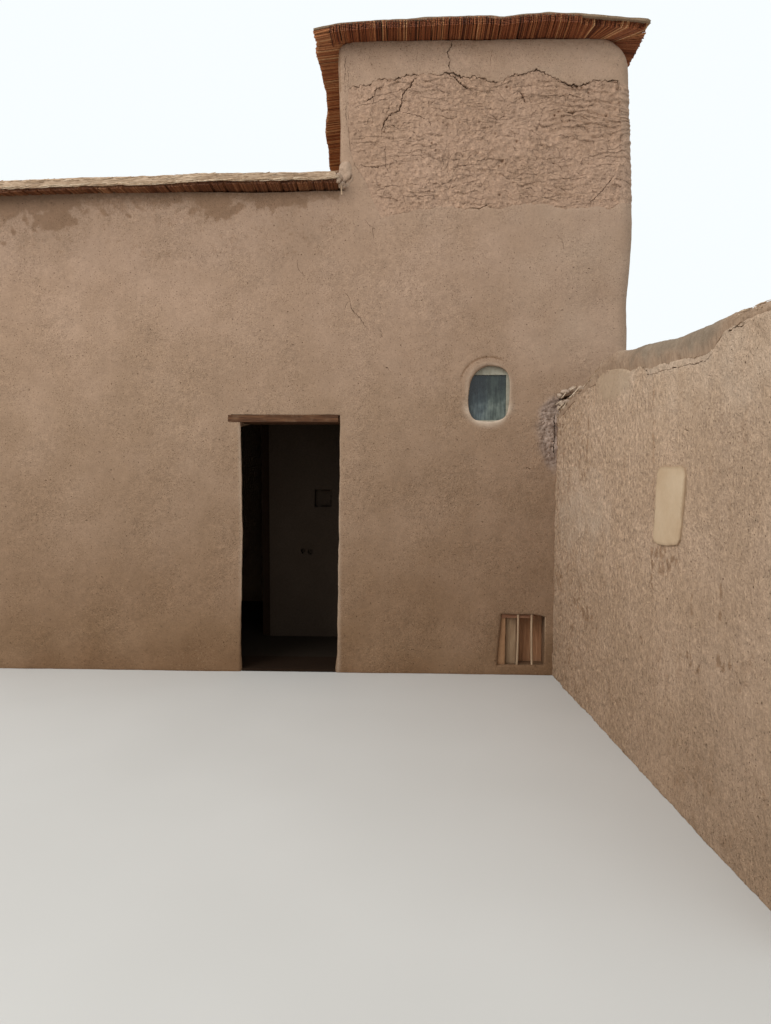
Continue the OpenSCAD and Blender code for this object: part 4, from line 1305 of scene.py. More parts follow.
FACADE_CRACKS = [
    ([(0.825, 4.695), (0.838, 4.685), (0.828, 4.65), (0.801, 4.613), (0.811, 4.588), (0.822, 4.563), (0.818, 4.52), (0.822, 4.495), (0.832, 4.476)], 0.0042, 0.014),
    ([(0.044, 2.892), (0.070, 2.87), (0.091, 2.833), (0.098, 2.79), (0.106, 2.759), (0.14, 2.725), (0.166, 2.7), (0.19, 2.665), (0.211, 2.626)], 0.0024, 0.006),
    ([(0.091, 2.833), (0.062, 2.80), (0.05, 2.765)], 0.0016, 0.004),
    ([(0.347, 2.338), (0.369, 2.334), (0.391, 2.308)], 0.003, 0.006),
    ([(0.20, 3.42), (0.26, 3.36), (0.27, 3.28)], 0.0014, 0.004),
    ([(1.13, 4.62), (1.12, 4.56), (1.122, 4.515)], 0.0014, 0.004),
    ([(-0.31, 3.12), (-0.29, 3.05), (-0.25, 3.01)], 0.0015, 0.004),
    ([(1.62, 3.30), (1.66, 3.26), (1.67, 3.2)], 0.0015, 0.004),
    ([(1.668, 2.092), (1.70, 2.104), (1.73, 2.114), (1.768, 2.130)], 0.0150, 0.045),
    ([(1.632, 1.98), (1.628, 1.90), (1.634, 1.82), (1.626, 1.74), (1.630, 1.66)], 0.0050, 0.018),
    ([(0.30, 2.62), (0.33, 2.60), (0.335, 2.57)], 0.0014, 0.004),
    ([(0.58, 4.66), (0.585, 4.60), (0.578, 4.56)], 0.0010, 0.003),
    ([(0.062, 4.59), (0.052, 4.53), (0.058, 4.47), (0.049, 4.40), (0.056, 4.34)], 0.0016, 0.006),
    ([(0.070, 4.27), (0.058, 4.19), (0.064, 4.11), (0.054, 4.04)], 0.0014, 0.006),
    ([(0.076, 4.50), (0.082, 4.44), (0.074, 4.38)], 0.0013, 0.005),
    ([(2.098, 3.66), (2.090, 3.57), (2.098, 3.50), (2.086, 3.43)], 0.0015, 0.006),
    ([(2.092, 4.33), (2.100, 4.26), (2.094, 4.17), (2.101, 4.09)], 0.0015, 0.006),
]
for a, b, w in [(1.42, 1.58, 0.004), (0.62, 2.83, 0.003), (1.66, 2.75, 0.0032), (0.52, 1.72, 0.003), (1.05, 1.30, 0.0034), (-0.35, 2.50, 0.003),
                (0.20, 2.93, 0.0026), (0.93, 3.12, 0.003), (1.85, 3.05, 0.0032), (0.70, 0.90, 0.0032), (1.36, 0.82, 0.003)]:
    FACADE_CRACKS.append(([(a, b), (a + 0.009, b + 0.003), (a + 0.018, b + 0.001)], w, 0.007))

PATCH_CRACKS = [
    ([(0.820, 4.452), (0.858, 4.436), (0.893, 4.400), (0.943, 4.365), (0.985, 4.337)], 0.0070, 0.018),
    ([(0.580, 4.440), (0.550, 4.409), (0.532, 4.371), (0.490, 4.344), (0.476, 4.304), (0.474, 4.256), (0.453, 4.206), (0.404, 4.189),
      (0.373, 4.166), (0.345, 4.126), (0.331, 4.085), (0.328, 4.044)], 0.0066, 0.017),
    ([(0.33, 4.381), (0.312, 4.374), (0.279, 4.354), (0.270, 4.313), (0.248, 4.293), (0.213, 4.277)], 0.0050, 0.014),
    ([(0.445, 4.199), (0.48, 4.192), (0.545, 4.178), (0.601, 4.166), (0.643, 4.145)], 0.0036, 0.010),
    ([(0.351, 3.978), (0.351, 3.895), (0.357, 3.799), (0.377, 3.771)], 0.0020, 0.007),
    ([(1.333, 4.330), (1.361, 4.299), (1.369, 4.258)], 0.0040, 0.012),
    ([(1.845, 3.520), (1.896, 3.562), (1.944, 3.612), (1.991, 3.672), (2.030, 3.72)], 0.0034, 0.010),
    ([(0.164, 3.822), (0.207, 3.807), (0.285, 3.800), (0.342, 3.813)], 0.0030, 0.009),
    ([(0.36, 3.88), (0.45, 3.876), (0.53, 3.885), (0.66, 3.88)], 0.0018, 0.006),
    ([(0.30, 3.63), (0.36, 3.66), (0.42, 3.668), (0.47, 3.655)], 0.0024, 0.008),
    ([(1.53, 4.30), (1.62, 4.292), (1.70, 4.296), (1.80, 4.27)], 0.0026, 0.009),
    ([(1.56, 4.19), (1.60, 4.20), (1.68, 4.197)], 0.0030, 0.010),
    ([(0.55, 3.60), (0.62, 3.585), (0.70, 3.60)], 0.0022, 0.007),
    ([(0.92, 4.125), (0.95, 4.12), (0.965, 4.09), (0.972, 4.06)], 0.0028, 0.009),
]


def build_facade():
    pts, rad = facade_outline()
    P, R = subdivide(pts, rad, 0.0165)
    # closer points where the coarse mud runs round the corner
    nP2, nR2 = [], []
    for i in range(len(P)):
        j = (i + 1) % len(P)
        nP2.append(P[i])
        nR2.append(R[i])
        if min(P[i, 0], P[j, 0]) > 2.04 and min(P[i, 1], P[j, 1]) > 3.47 and max(P[i, 1], P[j, 1]) < 4.42:
            nP2.append((P[i] + P[j]) / 2)
            nR2.append(R[i])
    P, R = np.array(nP2), np.array(nR2)
    # the jambs aren't quite straight
    q = flat3(P[:, 0], P[:, 1])
    jamb = (P[:, 1] > 0.02) & (P[:, 1] < 1.90) & (np.abs(P[:, 0] + 0.375) < 0.42)
    P[jamb, 0] += 0.0025 * noise(q, 9.0, 21)[jamb]
    oval = closed_curve(OVAL, 0.011)
    ang = np.arctan2(oval[:, 1] - 2.14, oval[:, 0] - 1.132)
    lip = 0.009 + 0.013 * np.exp(-((ang - 2.2) / 0.7) ** 2)
    pocket = [(1.12 - 0.18, 2.112 - 0.25), (1.12 + 0.18, 2.112 - 0.25), (1.12 + 0.18, 2.112 + 0.25), (1.12 - 0.18, 2.112 + 0.25)]
    nP, nR = subdivide(NICHE, NICHE_R, 0.012)
    pP, pN, gap, seam = patch_outline()
    hole = pP - pN * (gap / 2)[:, None]
    lipp = 0.0005 + 0.0030 * (1 - seam)
    holes = [dict(P=oval, R=lip, kind="pocket", pocket=pocket, depth=0.045, strip=0.011),
             dict(P=nP, R=nR, kind="blind", depth=0.185, strip=0.016, h=0.03),
             # the pocket round the coarse patch has dark walls, as painted shade in the gap
             dict(P=hole, R=lipp, kind="blind", depth=0.12, strip=0.02, h=0.06, dark=1.0, side=0.0)]

    def splay(s, z, d):
        # the left reveal opens out inwards
        return -0.10 * np.clip((d - 0.025) / 0.355, 0, 1) * smooth(z, 1.93, 1.90) * np.clip((s + 1.25) / 0.45, 0, 1) * (s < -0.6)

    ob = slab("front_wall_render", (P, R), holes, WALL, 0.0182, ((0, 0, 0), (1, 0, 0), (0, 1, 0)), [MUD, MUD_ROUGH], facade_relief,
              fine=[((1.48, 1.50), (1.66, 2.13), 0.0100), ((0.92, 1.84), (1.36, 2.44), 0.0115), ((2.02, 3.47), (2.10, 4.43), 0.0075)],
              cracks=FACADE_CRACKS, paint=facade_paint, seed=4, slot="mud_render", warp=splay,
              zone=lambda s, z, d: (rough_zone(s, z) > 0.5) & (s > 2.03) & (d < 0.09),
              replaces=("wing_front_wall", "wall_over_doorway", "tower_front_wall_base", "tower_front_wall_middle", "tower_front_wall_upper"))
    # the coarse patch fills its pocket
    inner = pP + pN * (gap / 2)[:, None]

    def relief(P3, s, z, d):
        q2 = flat3(s, z)
        f, _ = coarse(s, z, q2)
        g, _ = pits(s, z, PITS)
        edge = np.maximum(smooth(s, 2.0, 2.07), smooth(s - patch_left(z), 0.06, 0.0))
        return swell(P3) + (f + g) * np.where(d < 0.02, 1.0, 0.0) - 0.003 * (1 - edge) * (d < 0.02)

    def paint(P3, s, z, d, N):
        q2 = flat3(s, z)
        _, (ph1, amp1, ph2, amp2) = coarse(s, z, q2)
        _, dp = pits(s, z, PITS)
        # painted shadow just under the upper crack, below the smoother band above, and painted shade round the open
        # holes
        top = np.interp(s, [p[0] for p in PATCH[:31]], [p[1] for p in PATCH[:31]])
        shadow_under_band = smooth(z, top - 0.045, top - 0.005) * smooth(noise(q2, 17.0, 44), -0.35, 0.25)
        return {"stain": np.clip(0.75 * dp + 0.30 * shadow_under_band, 0, 1), "pale": np.zeros(len(s)), "cement": np.zeros(len(s)),
                "ph1": ph1, "amp1": amp1, "ph2": ph2, "amp2": amp2}

    slab("rough_mud_patch", (inner, lipp), [], 0.118, 0.0069, ((0, 0, 0), (1, 0, 0), (0, 1, 0)), MUD_ROUGH, relief,
         cracks=PATCH_CRACKS + short_cracks(PATCH_CRACKS), paint=paint, seed=8, slot="rough_mud", strip=0.03, back_step=0.12, back_relief=0.0)
    return ob


NICHE = [(1.222, 0.063), (1.585, 0.063), (1.585, 0.447), (1.505, 0.467), (1.255, 0.467)]
NICHE_R = [0.006, 0.006, 0.010, 0.010, 0.024]
build_facade()


# ------------------------------------------------------------------ the other walls
def left_u(z):
    return np.interp(z, [3.63, 3.767, 3.87, 4.09, 4.32, 4.54, 4.635], [0.03, 0.022, 0.013, 0.015, 0.008, 0.0, 0.003]) + np.where(
        np.asarray(z) > TALL - 0.065, 0.065 - np.sqrt(np.maximum(0.065 ** 2 - np.clip(np.asarray(z) - TALL + 0.065, 0, 0.065) ** 2, 0)), 0)


def plain_relief(P, s, z, d):
    return swell(P)


def plain_paint(head):
    def paint(P, s, z, d, N):
        n1, n2 = noise(P, 2.2, 81), noise(P, 9.0, 82)
        # a band just under the wall head: partly stain, partly painted shade under the eave
        st = 0.7 * smooth(z + 0.10 * n1 + 0.05 * n2, head - 0.20, head - 0.02)
        st = np.maximum(st, 0.4 * smooth(n1 + 0.4 * n2, 0.42, 0.7) * smooth(z, head - 0.9, head - 0.3))
        return {"stain": np.clip(st, 0, 1), "pale": np.zeros(len(s)), "cement": np.zeros(len(s))}
    return paint


def wall_outline(lo, hi, z0, z1, step, bottom=True):
    return subdivide([(lo, z0), (hi, z0), (hi, z1), (lo, z1)], [0.0] * 4, step)


slab("right_wall_render", wall_outline(WALL, DEEP - WALL, 0.0, TALL, 0.034), [], WALL, 0.034,
     ((2.155, 0, 0), (0, 1, 0), (-1, 0, 0)), MUD, plain_relief, face=lambda s, z: 2.155 - edge_u(z), back_step=0.2,
     strip=0.2, paint=plain_paint(TALL), seed=21, slot="mud_render", replaces=("tower_right_wall",), back_relief=0.2,
     cracks=[([(1.30, 4.42), (1.34, 4.2), (1.31, 4.05), (1.36, 3.85)], 0.003, 0.008), ([(2.2, 1.2), (2.1, 0.95), (2.16, 0.7)], 0.002, 0.006)])
slab("side_wall_render", wall_outline(-(DEEP - WALL), -WALL, 1.925, TALL, 0.036), [], WALL, 0.036,
     ((0, 0, 0), (0, -1, 0), (1, 0, 0)), MUD, plain_relief, face=lambda s, z: left_u(z), back_step=0.2, strip=0.2,
     paint=plain_paint(TALL), seed=22, slot="mud_render", replaces=("tower_side_wall_upper",), back_relief=0.2)
slab("end_wall_render", wall_outline(-(DEEP - WALL), -WALL, 0.0, LOW, 0.04), [], WALL, 0.04,
     ((LEFT, 0, 0), (0, -1, 0), (1, 0, 0)), MUD, plain_relief, back_step=0.2, strip=0.2, paint=plain_paint(LOW), seed=23,
     slot="mud_render", replaces=("wing_end_wall",), back_relief=0.2)


def back_outline():
    e, r = tower_edge()
    pts = [(WIDE - LEFT, 0.0), (WIDE - LEFT, LOW), (WIDE - 0.03, LOW)]
    rad = [0.04, 0.004, 0.045]
    for z in (3.767, 3.87, 4.09, 4.32, 4.54, 4.64):
        pts.append((WIDE - float(left_u(z)), z))
        rad.append(0.045)
    pts += [(WIDE - 0.03, 4.685), (WIDE - 0.07, TALL), (WIDE - 1.85, TALL)]
    rad += [0.04, 0.012, 0.012]
    for q, k in zip(reversed(e), reversed(r)):
        pts.append((WIDE - q[0], q[1]))
        rad.append(k)
    pts.append((WIDE - float(edge_u(0.0)), 0.0))
    rad.append(0.002)
    return subdivide(pts, rad, 0.038)


slab("back_wall_render", back_outline(), [], WALL, 0.038, ((WIDE, DEEP, 0), (-1, 0, 0), (0, -1, 0)), MUD, plain_relief,
     back_step=0.2, strip=0.1, paint=lambda P, s, z, d, N: plain_paint(TALL)(P, s, z + np.where(s > WIDE, TALL - LOW, 0), d, N),
     seed=24, slot="mud_render", replaces=("wing_back_wall", "tower_back_wall"), back_relief=0.2,
     cracks=[([(1.0, 4.69), (1.03, 4.5), (0.97, 4.35), (1.02, 4.2)], 0.003, 0.009),
             ([(3.4, 3.62), (3.43, 3.4), (3.38, 3.25), (3.44, 3.1)], 0.003, 0.008)])

# ------------------------------------------------------------------ yard wall
CA, SA = math.cos(YARD_A), math.sin(YARD_A)
YR, YD = np.array([SA, -CA, 0.0]), np.array([CA, SA, 0.0])
YO = np.array([YARD_X, 0.0, 0.0])
FOOT_S = [-0.06, 0.0, 0.13, 0.28, 0.45, 0.60, 0.78, 0.90, 1.063, 1.20, 1.389, 1.482, 1.65, 1.762, 1.90, 2.133, 2.339, 2.432, 2.50, 2.528, 2.574, 2.65, 2.75, 3.3]
FOOT_Z = [1.89, 1.93, 1.985, 2.035, 2.070, 2.09, 2.12, 2.14, 2.19, 2.18, 2.152, 2.130, 2.145, 2.122, 2.116, 2.106, 2.098, 2.112, 2.148, 2.165, 2.176, 2.180, 2.175, 2.17]
CREST_S = [-0.06, 0.0, 0.1, 0.2, 0.3, 0.45, 0.6, 0.8, 1.0, 1.2, 1.4, 1.6, 1.8, 2.0, 2.2, 2.5, 2.65, 2.8, 3.0, 3.3]
CREST_Z = [1.970, 1.999, 2.03, 2.045, 2.065, 2.101, 2.12, 2.183, 2.249, 2.274, 2.251, 2.241, 2.231, 2.218, 2.217, 2.220, 2.213, 2.209, 2.211, 2.214]


def yard_at(s, d, z):
    s, d, z = np.broadcast_arrays(np.asarray(s, float), np.asarray(d, float), np.asarray(z, float))
    return YO + s[..., None] * YR + d[..., None] * YD + z[..., None] * np.array([0, 0, 1.0])


def spot(s, z):
    """The smooth greenish dab of mud under the capping."""
    q = flat3(s, z, 3)
    d = np.hypot((s - 1.19) / 0.29, (z - 2.08) / 0.095) + 0.35 * noise(q, 9.0, 83) + 0.25 * noise(q, 28.0, 87)
    return smooth(d, 1.12, 0.78)


def yard_relief(P, s, z, d):
    q = flat3(s, z, 7)
    st = q * np.array([1.0, 1.0, 0.45])
    rough = 1 - 0.85 * spot(s, z) * (d < 0.03)
    f = 0.008 * noise(P, 0.8, 11) + 0.0055 * noise(P, 2.4, 12) + 0.0035 * noise(P, 7.0, 13)
    rough = rough * np.interp(s, [0.0, 0.9, 2.0, 3.3], [1.35, 1.1, 0.72, 0.60])
    f = f + rough * (0.0046 * noise(st, 15.0, 61) + 0.0042 * noise(q * np.array([1.0, 1.0, 0.7]), 30.0, 62) + 0.0024 * noise(q, 62.0, 63))
    # thicker and looser where the face runs up to the top of the wall
    loose = smooth(s, 2.45, 2.7) * smooth(z, 1.95, 2.1) + smooth(s, 0.75, 0.35) * smooth(z, 1.7, 1.95)
    f = f + loose * (0.006 * noise(q, 13.0, 64) + 0.004 * noise(q, 40.0, 65)) * (d < 0.03)
    # bulges under the cap
    f = f + 0.004 * spot(s, z) * (d < 0.03) + 0.006 * smooth(z, 0.22, 0.0) * (d < 0.03)
    return f


def yard_paint(P, s, z, d, N):
    q = flat3(s, z, 7)
    n = noise(q, 6.0, 84)
    top = np.interp(s, FOOT_S, FOOT_Z)
    fine = noise(q * np.array([1.0, 1.0, 0.5]), 22.0, 88)
    st = 0.40 * smooth(z + 0.03 * n, top - 0.07, top) * (d < 0.03) * smooth(s, 0.4, 0.8) * smooth(s, 1.6, 1.4)
    # coarse dark ground under the panel, and flecks gathered here and there
    under = smooth(np.hypot((s - 2.03) / 0.20, (z - 1.115) / 0.10) + 0.3 * fine, 1.0, 0.6)
    st = np.maximum(st, 0.45 * under * smooth(fine, -0.1, 0.3))
    st = np.maximum(st, 0.30 * smooth(noise(q, 2.6, 89) + 0.35 * fine, 0.25, 0.55) * smooth(fine, -0.15, 0.35))
    # open, pitted ground near the house, the pits darkened as painted shade
    pit = noise(q, 34.0, 67) + 0.5 * noise(q, 15.0, 68)
    st = np.maximum(st, 0.55 * smooth(pit, 0.18, 0.42) * smooth(s, 1.3, 0.6) * (d < 0.03))
    # the dark joint against the house
    st = np.maximum(st, 0.8 * smooth(s + 0.008 * n, 0.030, 0.0))
    # a scraped, darker streak down the face
    line = np.interp(z, [0.938, 1.3, 1.7, 2.085], [1.902, 1.872, 1.842, 1.827]) + 0.012 * noise(q, 5.0, 85)
    st = np.maximum(st, 0.42 * np.exp(-((s - line) / 0.022) ** 2) * smooth(z, 0.9, 1.2) * (0.5 + 0.5 * smooth(noise(q, 14.0, 86), -0.2, 0.3)))
    broken = smooth(noise(q * np.array([1.0, 1.0, 0.45]), 30.0, 90), -0.15, 0.25)
    for a, w, lo, hi in [(line, 0.009, 1.62, 2.05), (0.20 + 0.02 * n, 0.016, 1.15, 1.80), (0.77 + 0.02 * n, 0.012, 1.55, 2.0), (0.07 + 0.01 * n, 0.014, 1.2, 1.95)]:
        st = np.maximum(st, 0.95 * np.exp(-((s - a) / w) ** 2) * smooth(z, lo - 0.05, lo + 0.05) * smooth(z, hi + 0.04, hi - 0.04) * broken)
    st = np.maximum(st, 0.35 * smooth(n, 0.3, 0.6) * smooth(z, 0.9, 0.3))
    pale = 0.42 * np.exp(-((z - 1.27) / 0.22) ** 2) * smooth(s, 1.35, 0.8) * smooth(s, 0.02, 0.15) + 0.14 * smooth(z, 1.75, 1.95) * smooth(s, 1.2, 1.5)
    # lighter earth between the cap and the crack below it
    pale = np.maximum(pale, 0.38 * smooth(z + 0.012 * n, top - 0.075, top - 0.045) * smooth(s, 1.62, 1.75) * smooth(s, 2.5, 2.4))
    pale = np.clip(pale + 0.25 * n * (pale > 0.05), 0, 1)
    # fine pits gathered in a few places, darkened as painted shade
    fine2 = noise(q * np.array([1.0, 1.0, 0.6]), 42.0, 191) + 0.4 * fine
    for a, b, w, h, k in [(0.60, 0.67, 0.12, 0.05, 1.0), (0.80, 0.64, 0.16, 0.055, 1.0), (0.98, 0.595, 0.08, 0.05, 0.9), (2.01, 1.17, 0.17, 0.045, 1.0), (2.0, 1.10, 0.13, 0.05, 0.7),
                          (1.852, 1.08, 0.022, 0.16, 1.0), (2.29, 0.73, 0.10, 0.035, 1.0), (2.38, 0.71, 0.06, 0.03, 0.9), (2.60, 0.79, 0.09, 0.04, 0.9), (1.73, 0.685, 0.03, 0.03, 1.0),
                          (0.20, 0.75, 0.07, 0.10, 0.8), (2.55, 1.02, 0.02, 0.12, 0.8), (2.3, 0.95, 0.02, 0.10, 0.6)]:
        r = np.hypot((s - a) / w, (z - b) / h)
        st = np.maximum(st, k * smooth(r, 1.3, 0.5) * smooth(fine2, 0.0, 0.22) * (d < 0.03))
    tone = 0.85 * smooth(s, 2.0, 2.6) + 0.45 * smooth(z, 1.0, 0.5) * smooth(s, 1.0, 1.6)
    return {"tone": tone, "stain": np.clip(st, 0, 1), "pale": pale, "cement": np.zeros(len(s)), "spot": spot(s, z) * (d < 0.05)}


YARD_CRACKS = [
    ([(1.415, 2.132), (1.445, 2.124), (1.470, 2.110), (1.487, 2.092)], 0.0048, 0.015),
    ([(1.645, 2.118), (1.685, 2.102), (1.73, 2.085), (1.762, 2.064)], 0.0036, 0.013),
    ([(1.70, 2.074), (1.752, 2.066), (1.815, 2.062), (1.89, 2.064), (1.95, 2.066), (2.008, 2.060), (2.06, 2.062), (2.118, 2.057), (2.19, 2.058),
      (2.271, 2.051), (2.32, 2.053), (2.366, 2.050), (2.41, 2.062), (2.438, 2.074)], 0.0026, 0.011),
    ([(2.545, 2.150), (2.58, 2.142), (2.615, 2.149), (2.65, 2.144), (2.69, 2.150)], 0.0040, 0.013),
    ([(0.86, 2.082), (0.905, 2.072), (0.93, 2.055), (0.935, 2.035)], 0.005, 0.016),
    ([(0.79, 1.975), (0.80, 1.955)], 0.005, 0.010),
    ([(0.60, 1.935), (0.605, 1.90)], 0.005, 0.010),
    ([(0.585, 2.05), (0.60, 2.035)], 0.005, 0.010),
    ([(2.190, 1.764), (2.205, 1.761), (2.221, 1.758)], 0.006, 0.012),
    ([(2.750, 1.355), (2.762, 1.349)], 0.006, 0.012),
    ([(2.788, 0.182), (2.800, 0.176)], 0.006, 0.010),
    ([(0.765, 0.675), (0.778, 0.66)], 0.005, 0.006),
    ([(2.40, 1.985), (2.43, 1.98)], 0.004, 0.008),
]


def yard_outline():
    s = np.concatenate([np.arange(-0.04, 3.299, 0.02), [3.3]])
    top = [(float(k), float(np.interp(k, FOOT_S, FOOT_Z) - 0.012)) for k in s[::-1]]
    pts = [(-0.04, 0.0), (3.3, 0.0)] + top
    rad = [0.002, 0.02] + [0.012] * (len(top) - 1) + [0.0]
    return subdivide(pts, rad, 0.0135)


slab("yard_wall_render", yard_outline(), [], YARD_T, 0.0130, (YO, YR, YD), MUD_YARD, yard_relief, back_step=0.034, strip=0.05,
     paint=yard_paint, seed=31, slot="mud_render", replaces=("yard_wall",), back_relief=1.0, cracks=YARD_CRACKS)


def build_cap():
    S = np.concatenate([np.arange(-0.05, 3.29, 0.0115), [3.3]])
    n = len(S)
    foot = np.interp(S, FOOT_S, FOOT_Z)
    crest = np.interp(S, CREST_S, CREST_Z)
    q = np.stack([S, np.full(n, 3.0), np.zeros(n)], 1)
    ragged = 0.011 * noise(q, 6.0, 91) + 0.009 * noise(q, 17.0, 92) + 0.006 * noise(q, 45.0, 93)
    lipo = 0.003 * smooth(S, 0.80, 1.0) * smooth(S, 2.62, 2.4)          # stands proud of the wall here
    foot_l = foot + ragged * (0.5 + 0.5 * smooth(S, 0.7, 0.95)) - 0.018
    proud = 0.003 - 0.004 * smooth(S, 0.75, 0.45)
    foot_l = np.minimum(foot_l, crest - 0.012)
    foot_r = np.interp(S, [0, 0.13, 0.45, 0.80, 1.15, 1.5, 2.3, 2.9, 3.3], [1.88, 1.92, 1.992, 2.07, 2.150, 2.138, 2.10, 2.088, 2.08]) + 0.006 * noise(q, 5.0, 94)
    ph = np.radians([4, 10, 17, 24, 31, 39, 47, 56, 66, 77, 88, 99, 110, 121, 132, 143, 154, 165, 176])
    half = YARD_T / 2
    P, UV = [], []
    for a in ph:
        c1, s1 = math.cos(a), math.sin(a)
        d = half - (half + proud + lipo * max(0.0, c1)) * np.sign(c1) * abs(c1) ** 0.26
        low = np.where(a < math.pi / 2, foot_l, foot_r)
        z = low + (crest - low) * s1 ** 0.48
        P.append(np.stack([S, d, z], 1))
        UV.append(np.stack([S, np.full(n, 0.26 * a), np.zeros(n)], 1))
    # returns under the lip to the wall
    first = [np.stack([S, a - proud, foot_l + b], 1) for a, b in ((0.003, -0.004), (0.027, -0.010))]
    last = [np.stack([S, np.full(n, YARD_T + a), foot_r + b], 1) for a, b in ((0.002, -0.004), (-0.025, -0.010))]
    P = [first[1], first[0]] + P + [last[0], last[1]]
    UV = [UV[0], UV[0]] + UV + [UV[-1], UV[-1]]
    P = np.stack(P, 1)                         # n, m, 3 as s, d, z
    UV = np.stack(UV, 1)
    m = P.shape[1]
    W = yard_at(P[..., 0], P[..., 1], P[..., 2]).reshape(-1, 3)
    # outward direction of the profile
    T = np.gradient(P, axis=1)
    nd, nz = -T[..., 2], T[..., 1]
    ln = np.hypot(nd, nz) + 1e-9
    nd, nz = nd / ln, nz / ln
    flow = np.interp(P[..., 0], [0.90, 1.15, 2.42, 2.62], [0.0, 1.0, 1.0, 0.0])
    amp = (0.005 * noise(W, 2.2, 95) + 0.0045 * noise(W, 6.5, 96) + 0.0028 * noise(W, 18.0, 97) + 0.0016 * noise(W, 45.0, 98)).reshape(n, m)
    amp = amp + (1 - flow) * (0.0055 * noise(W, 24.0, 99) + 0.003 * noise(W, 60.0, 100)).reshape(n, m)
    # fine upright ripples of the washed run
    wave = np.stack([P[..., 0].ravel() * 26.0, P[..., 2].ravel() * 4.0, np.zeros(n * m)], 1)
    amp = amp + flow * (0.0004 * noise(wave, 1.0, 102)).reshape(n, m)
    amp = amp + np.exp(-((P[..., 0] - 0.34) / 0.14) ** 2) * 0.008
    amp[:, 0] = 0
    amp[:, -1] = 0
    P[..., 1] += nd * amp
    P[..., 2] += nz * amp
    # an upright crack through the lip, also darkened as painted shade
    k = np.abs(P[..., 0] - (0.935 + 0.15 * (P[..., 2] - 2.1))) < 0.008
    k &= (P[..., 1] < 0.09) & (P[..., 2] < 2.17)
    P[..., 1] += np.where(k, 0.012, 0)
    W = yard_at(P[..., 0], P[..., 1], P[..., 2]).reshape(-1, 3)
    idx = np.arange(n * m).reshape(n, m)
    a, b2, c2, d2 = idx[:-1, :], idx[1:, :], np.roll(idx, -1, 1)[1:, :], np.roll(idx, -1, 1)[:-1, :]
    quads = np.stack([a, b2, c2, d2], -1).reshape(-1, 4)[:, ::-1]
    ends = [idx[0][None, :], idx[-1][::-1][None, :]]
    pale = np.clip(1.2 * noise(W, 7.0, 103) + 0.5, 0, 1)
    # the grey wash thins out downwards and to the left
    high = np.array([0.0, 0.0] + [math.sin(a) ** 0.48 if a < math.pi / 2 else 1.0 for a in ph] + [1.0, 1.0])
    far = np.interp(S, [1.25, 1.65, 2.42, 2.58], [0.0, 1.0, 1.0, 0.0])
    grey = (far[:, None] + 0 * high[None]).ravel() + 0.35 * noise(W, 9.0, 101)
    grey = np.clip(grey, 0, 1) * smooth(np.repeat(high[None], n, 0).ravel() + 0.30 * noise(W, 13.0, 104), 0.10, 0.62)
    attrs = {"suv": UV.reshape(-1, 3), "crack": k.reshape(-1).astype(float) * 0.9, "pale": pale * (1 - 0.8 * flow.ravel()),
             "smoothed": grey}
    return make("yard_wall_cap_render", W, [quads, ends[0], ends[1]], CAP, attrs, replaces=("yard_wall_cap",), slot="mud_render", sharp=55)


build_cap()

PANEL = [(1.921, 1.589), (1.955, 1.598), (2.05, 1.599), (2.165, 1.601), (2.200, 1.592), (2.216, 1.554), (2.209, 1.48), (2.200, 1.40),
         (2.190, 1.32), (2.176, 1.258), (2.150, 1.232), (2.04, 1.216), (1.93, 1.212), (1.885, 1.219), (1.871, 1.245), (1.876, 1.30), (1.883, 1.38),
         (1.892, 1.48), (1.902, 1.56)]


def build_panel():
    P, R = subdivide(PANEL, [0.0045] * len(PANEL), 0.008)
    N = corner_normals(P if area2(P) > 0 else P[::-1])
    q = flat3(P[:, 0], P[:, 1], 2)
    if area2(P) < 0:
        P = P[::-1].copy()
    P = P + N * (0.0022 * noise(q, 18.0, 111) + 0.0012 * noise(q, 60.0, 112))[:, None]

    def relief(P3, s, z, d):
        return 0.0012 * noise(P3, 6.0, 113) + 0.0006 * noise(P3, 22.0, 114)

    def paint(P3, s, z, d, N):
        e = np.full(len(s), 1e9)
        for i in range(0, len(P), 400):
            k = P[i:i + 400]
            e = np.minimum(e, np.sqrt(((s[:, None] - k[None, :, 0]) ** 2 + (z[:, None] - k[None, :, 1]) ** 2).min(1)))
        q2 = flat3(s, z, 2)
        return {"edge": np.clip(smooth(e + 0.006 * noise(q2, 25.0, 115), 0.012, 0.0) + (d > 0.004), 0, 1)}

    slab("cream_panel", (P, np.full(len(P), 0.0045)), [], 0.030, 0.011, (YO - 0.0075 * YD, YR, YD), PLASTER, relief, paint=paint,
         seed=33, back_step=0.06, strip=0.02, slot="smooth_plaster", replaces=("smooth_wall_panel",), back_relief=0.0)


build_panel()


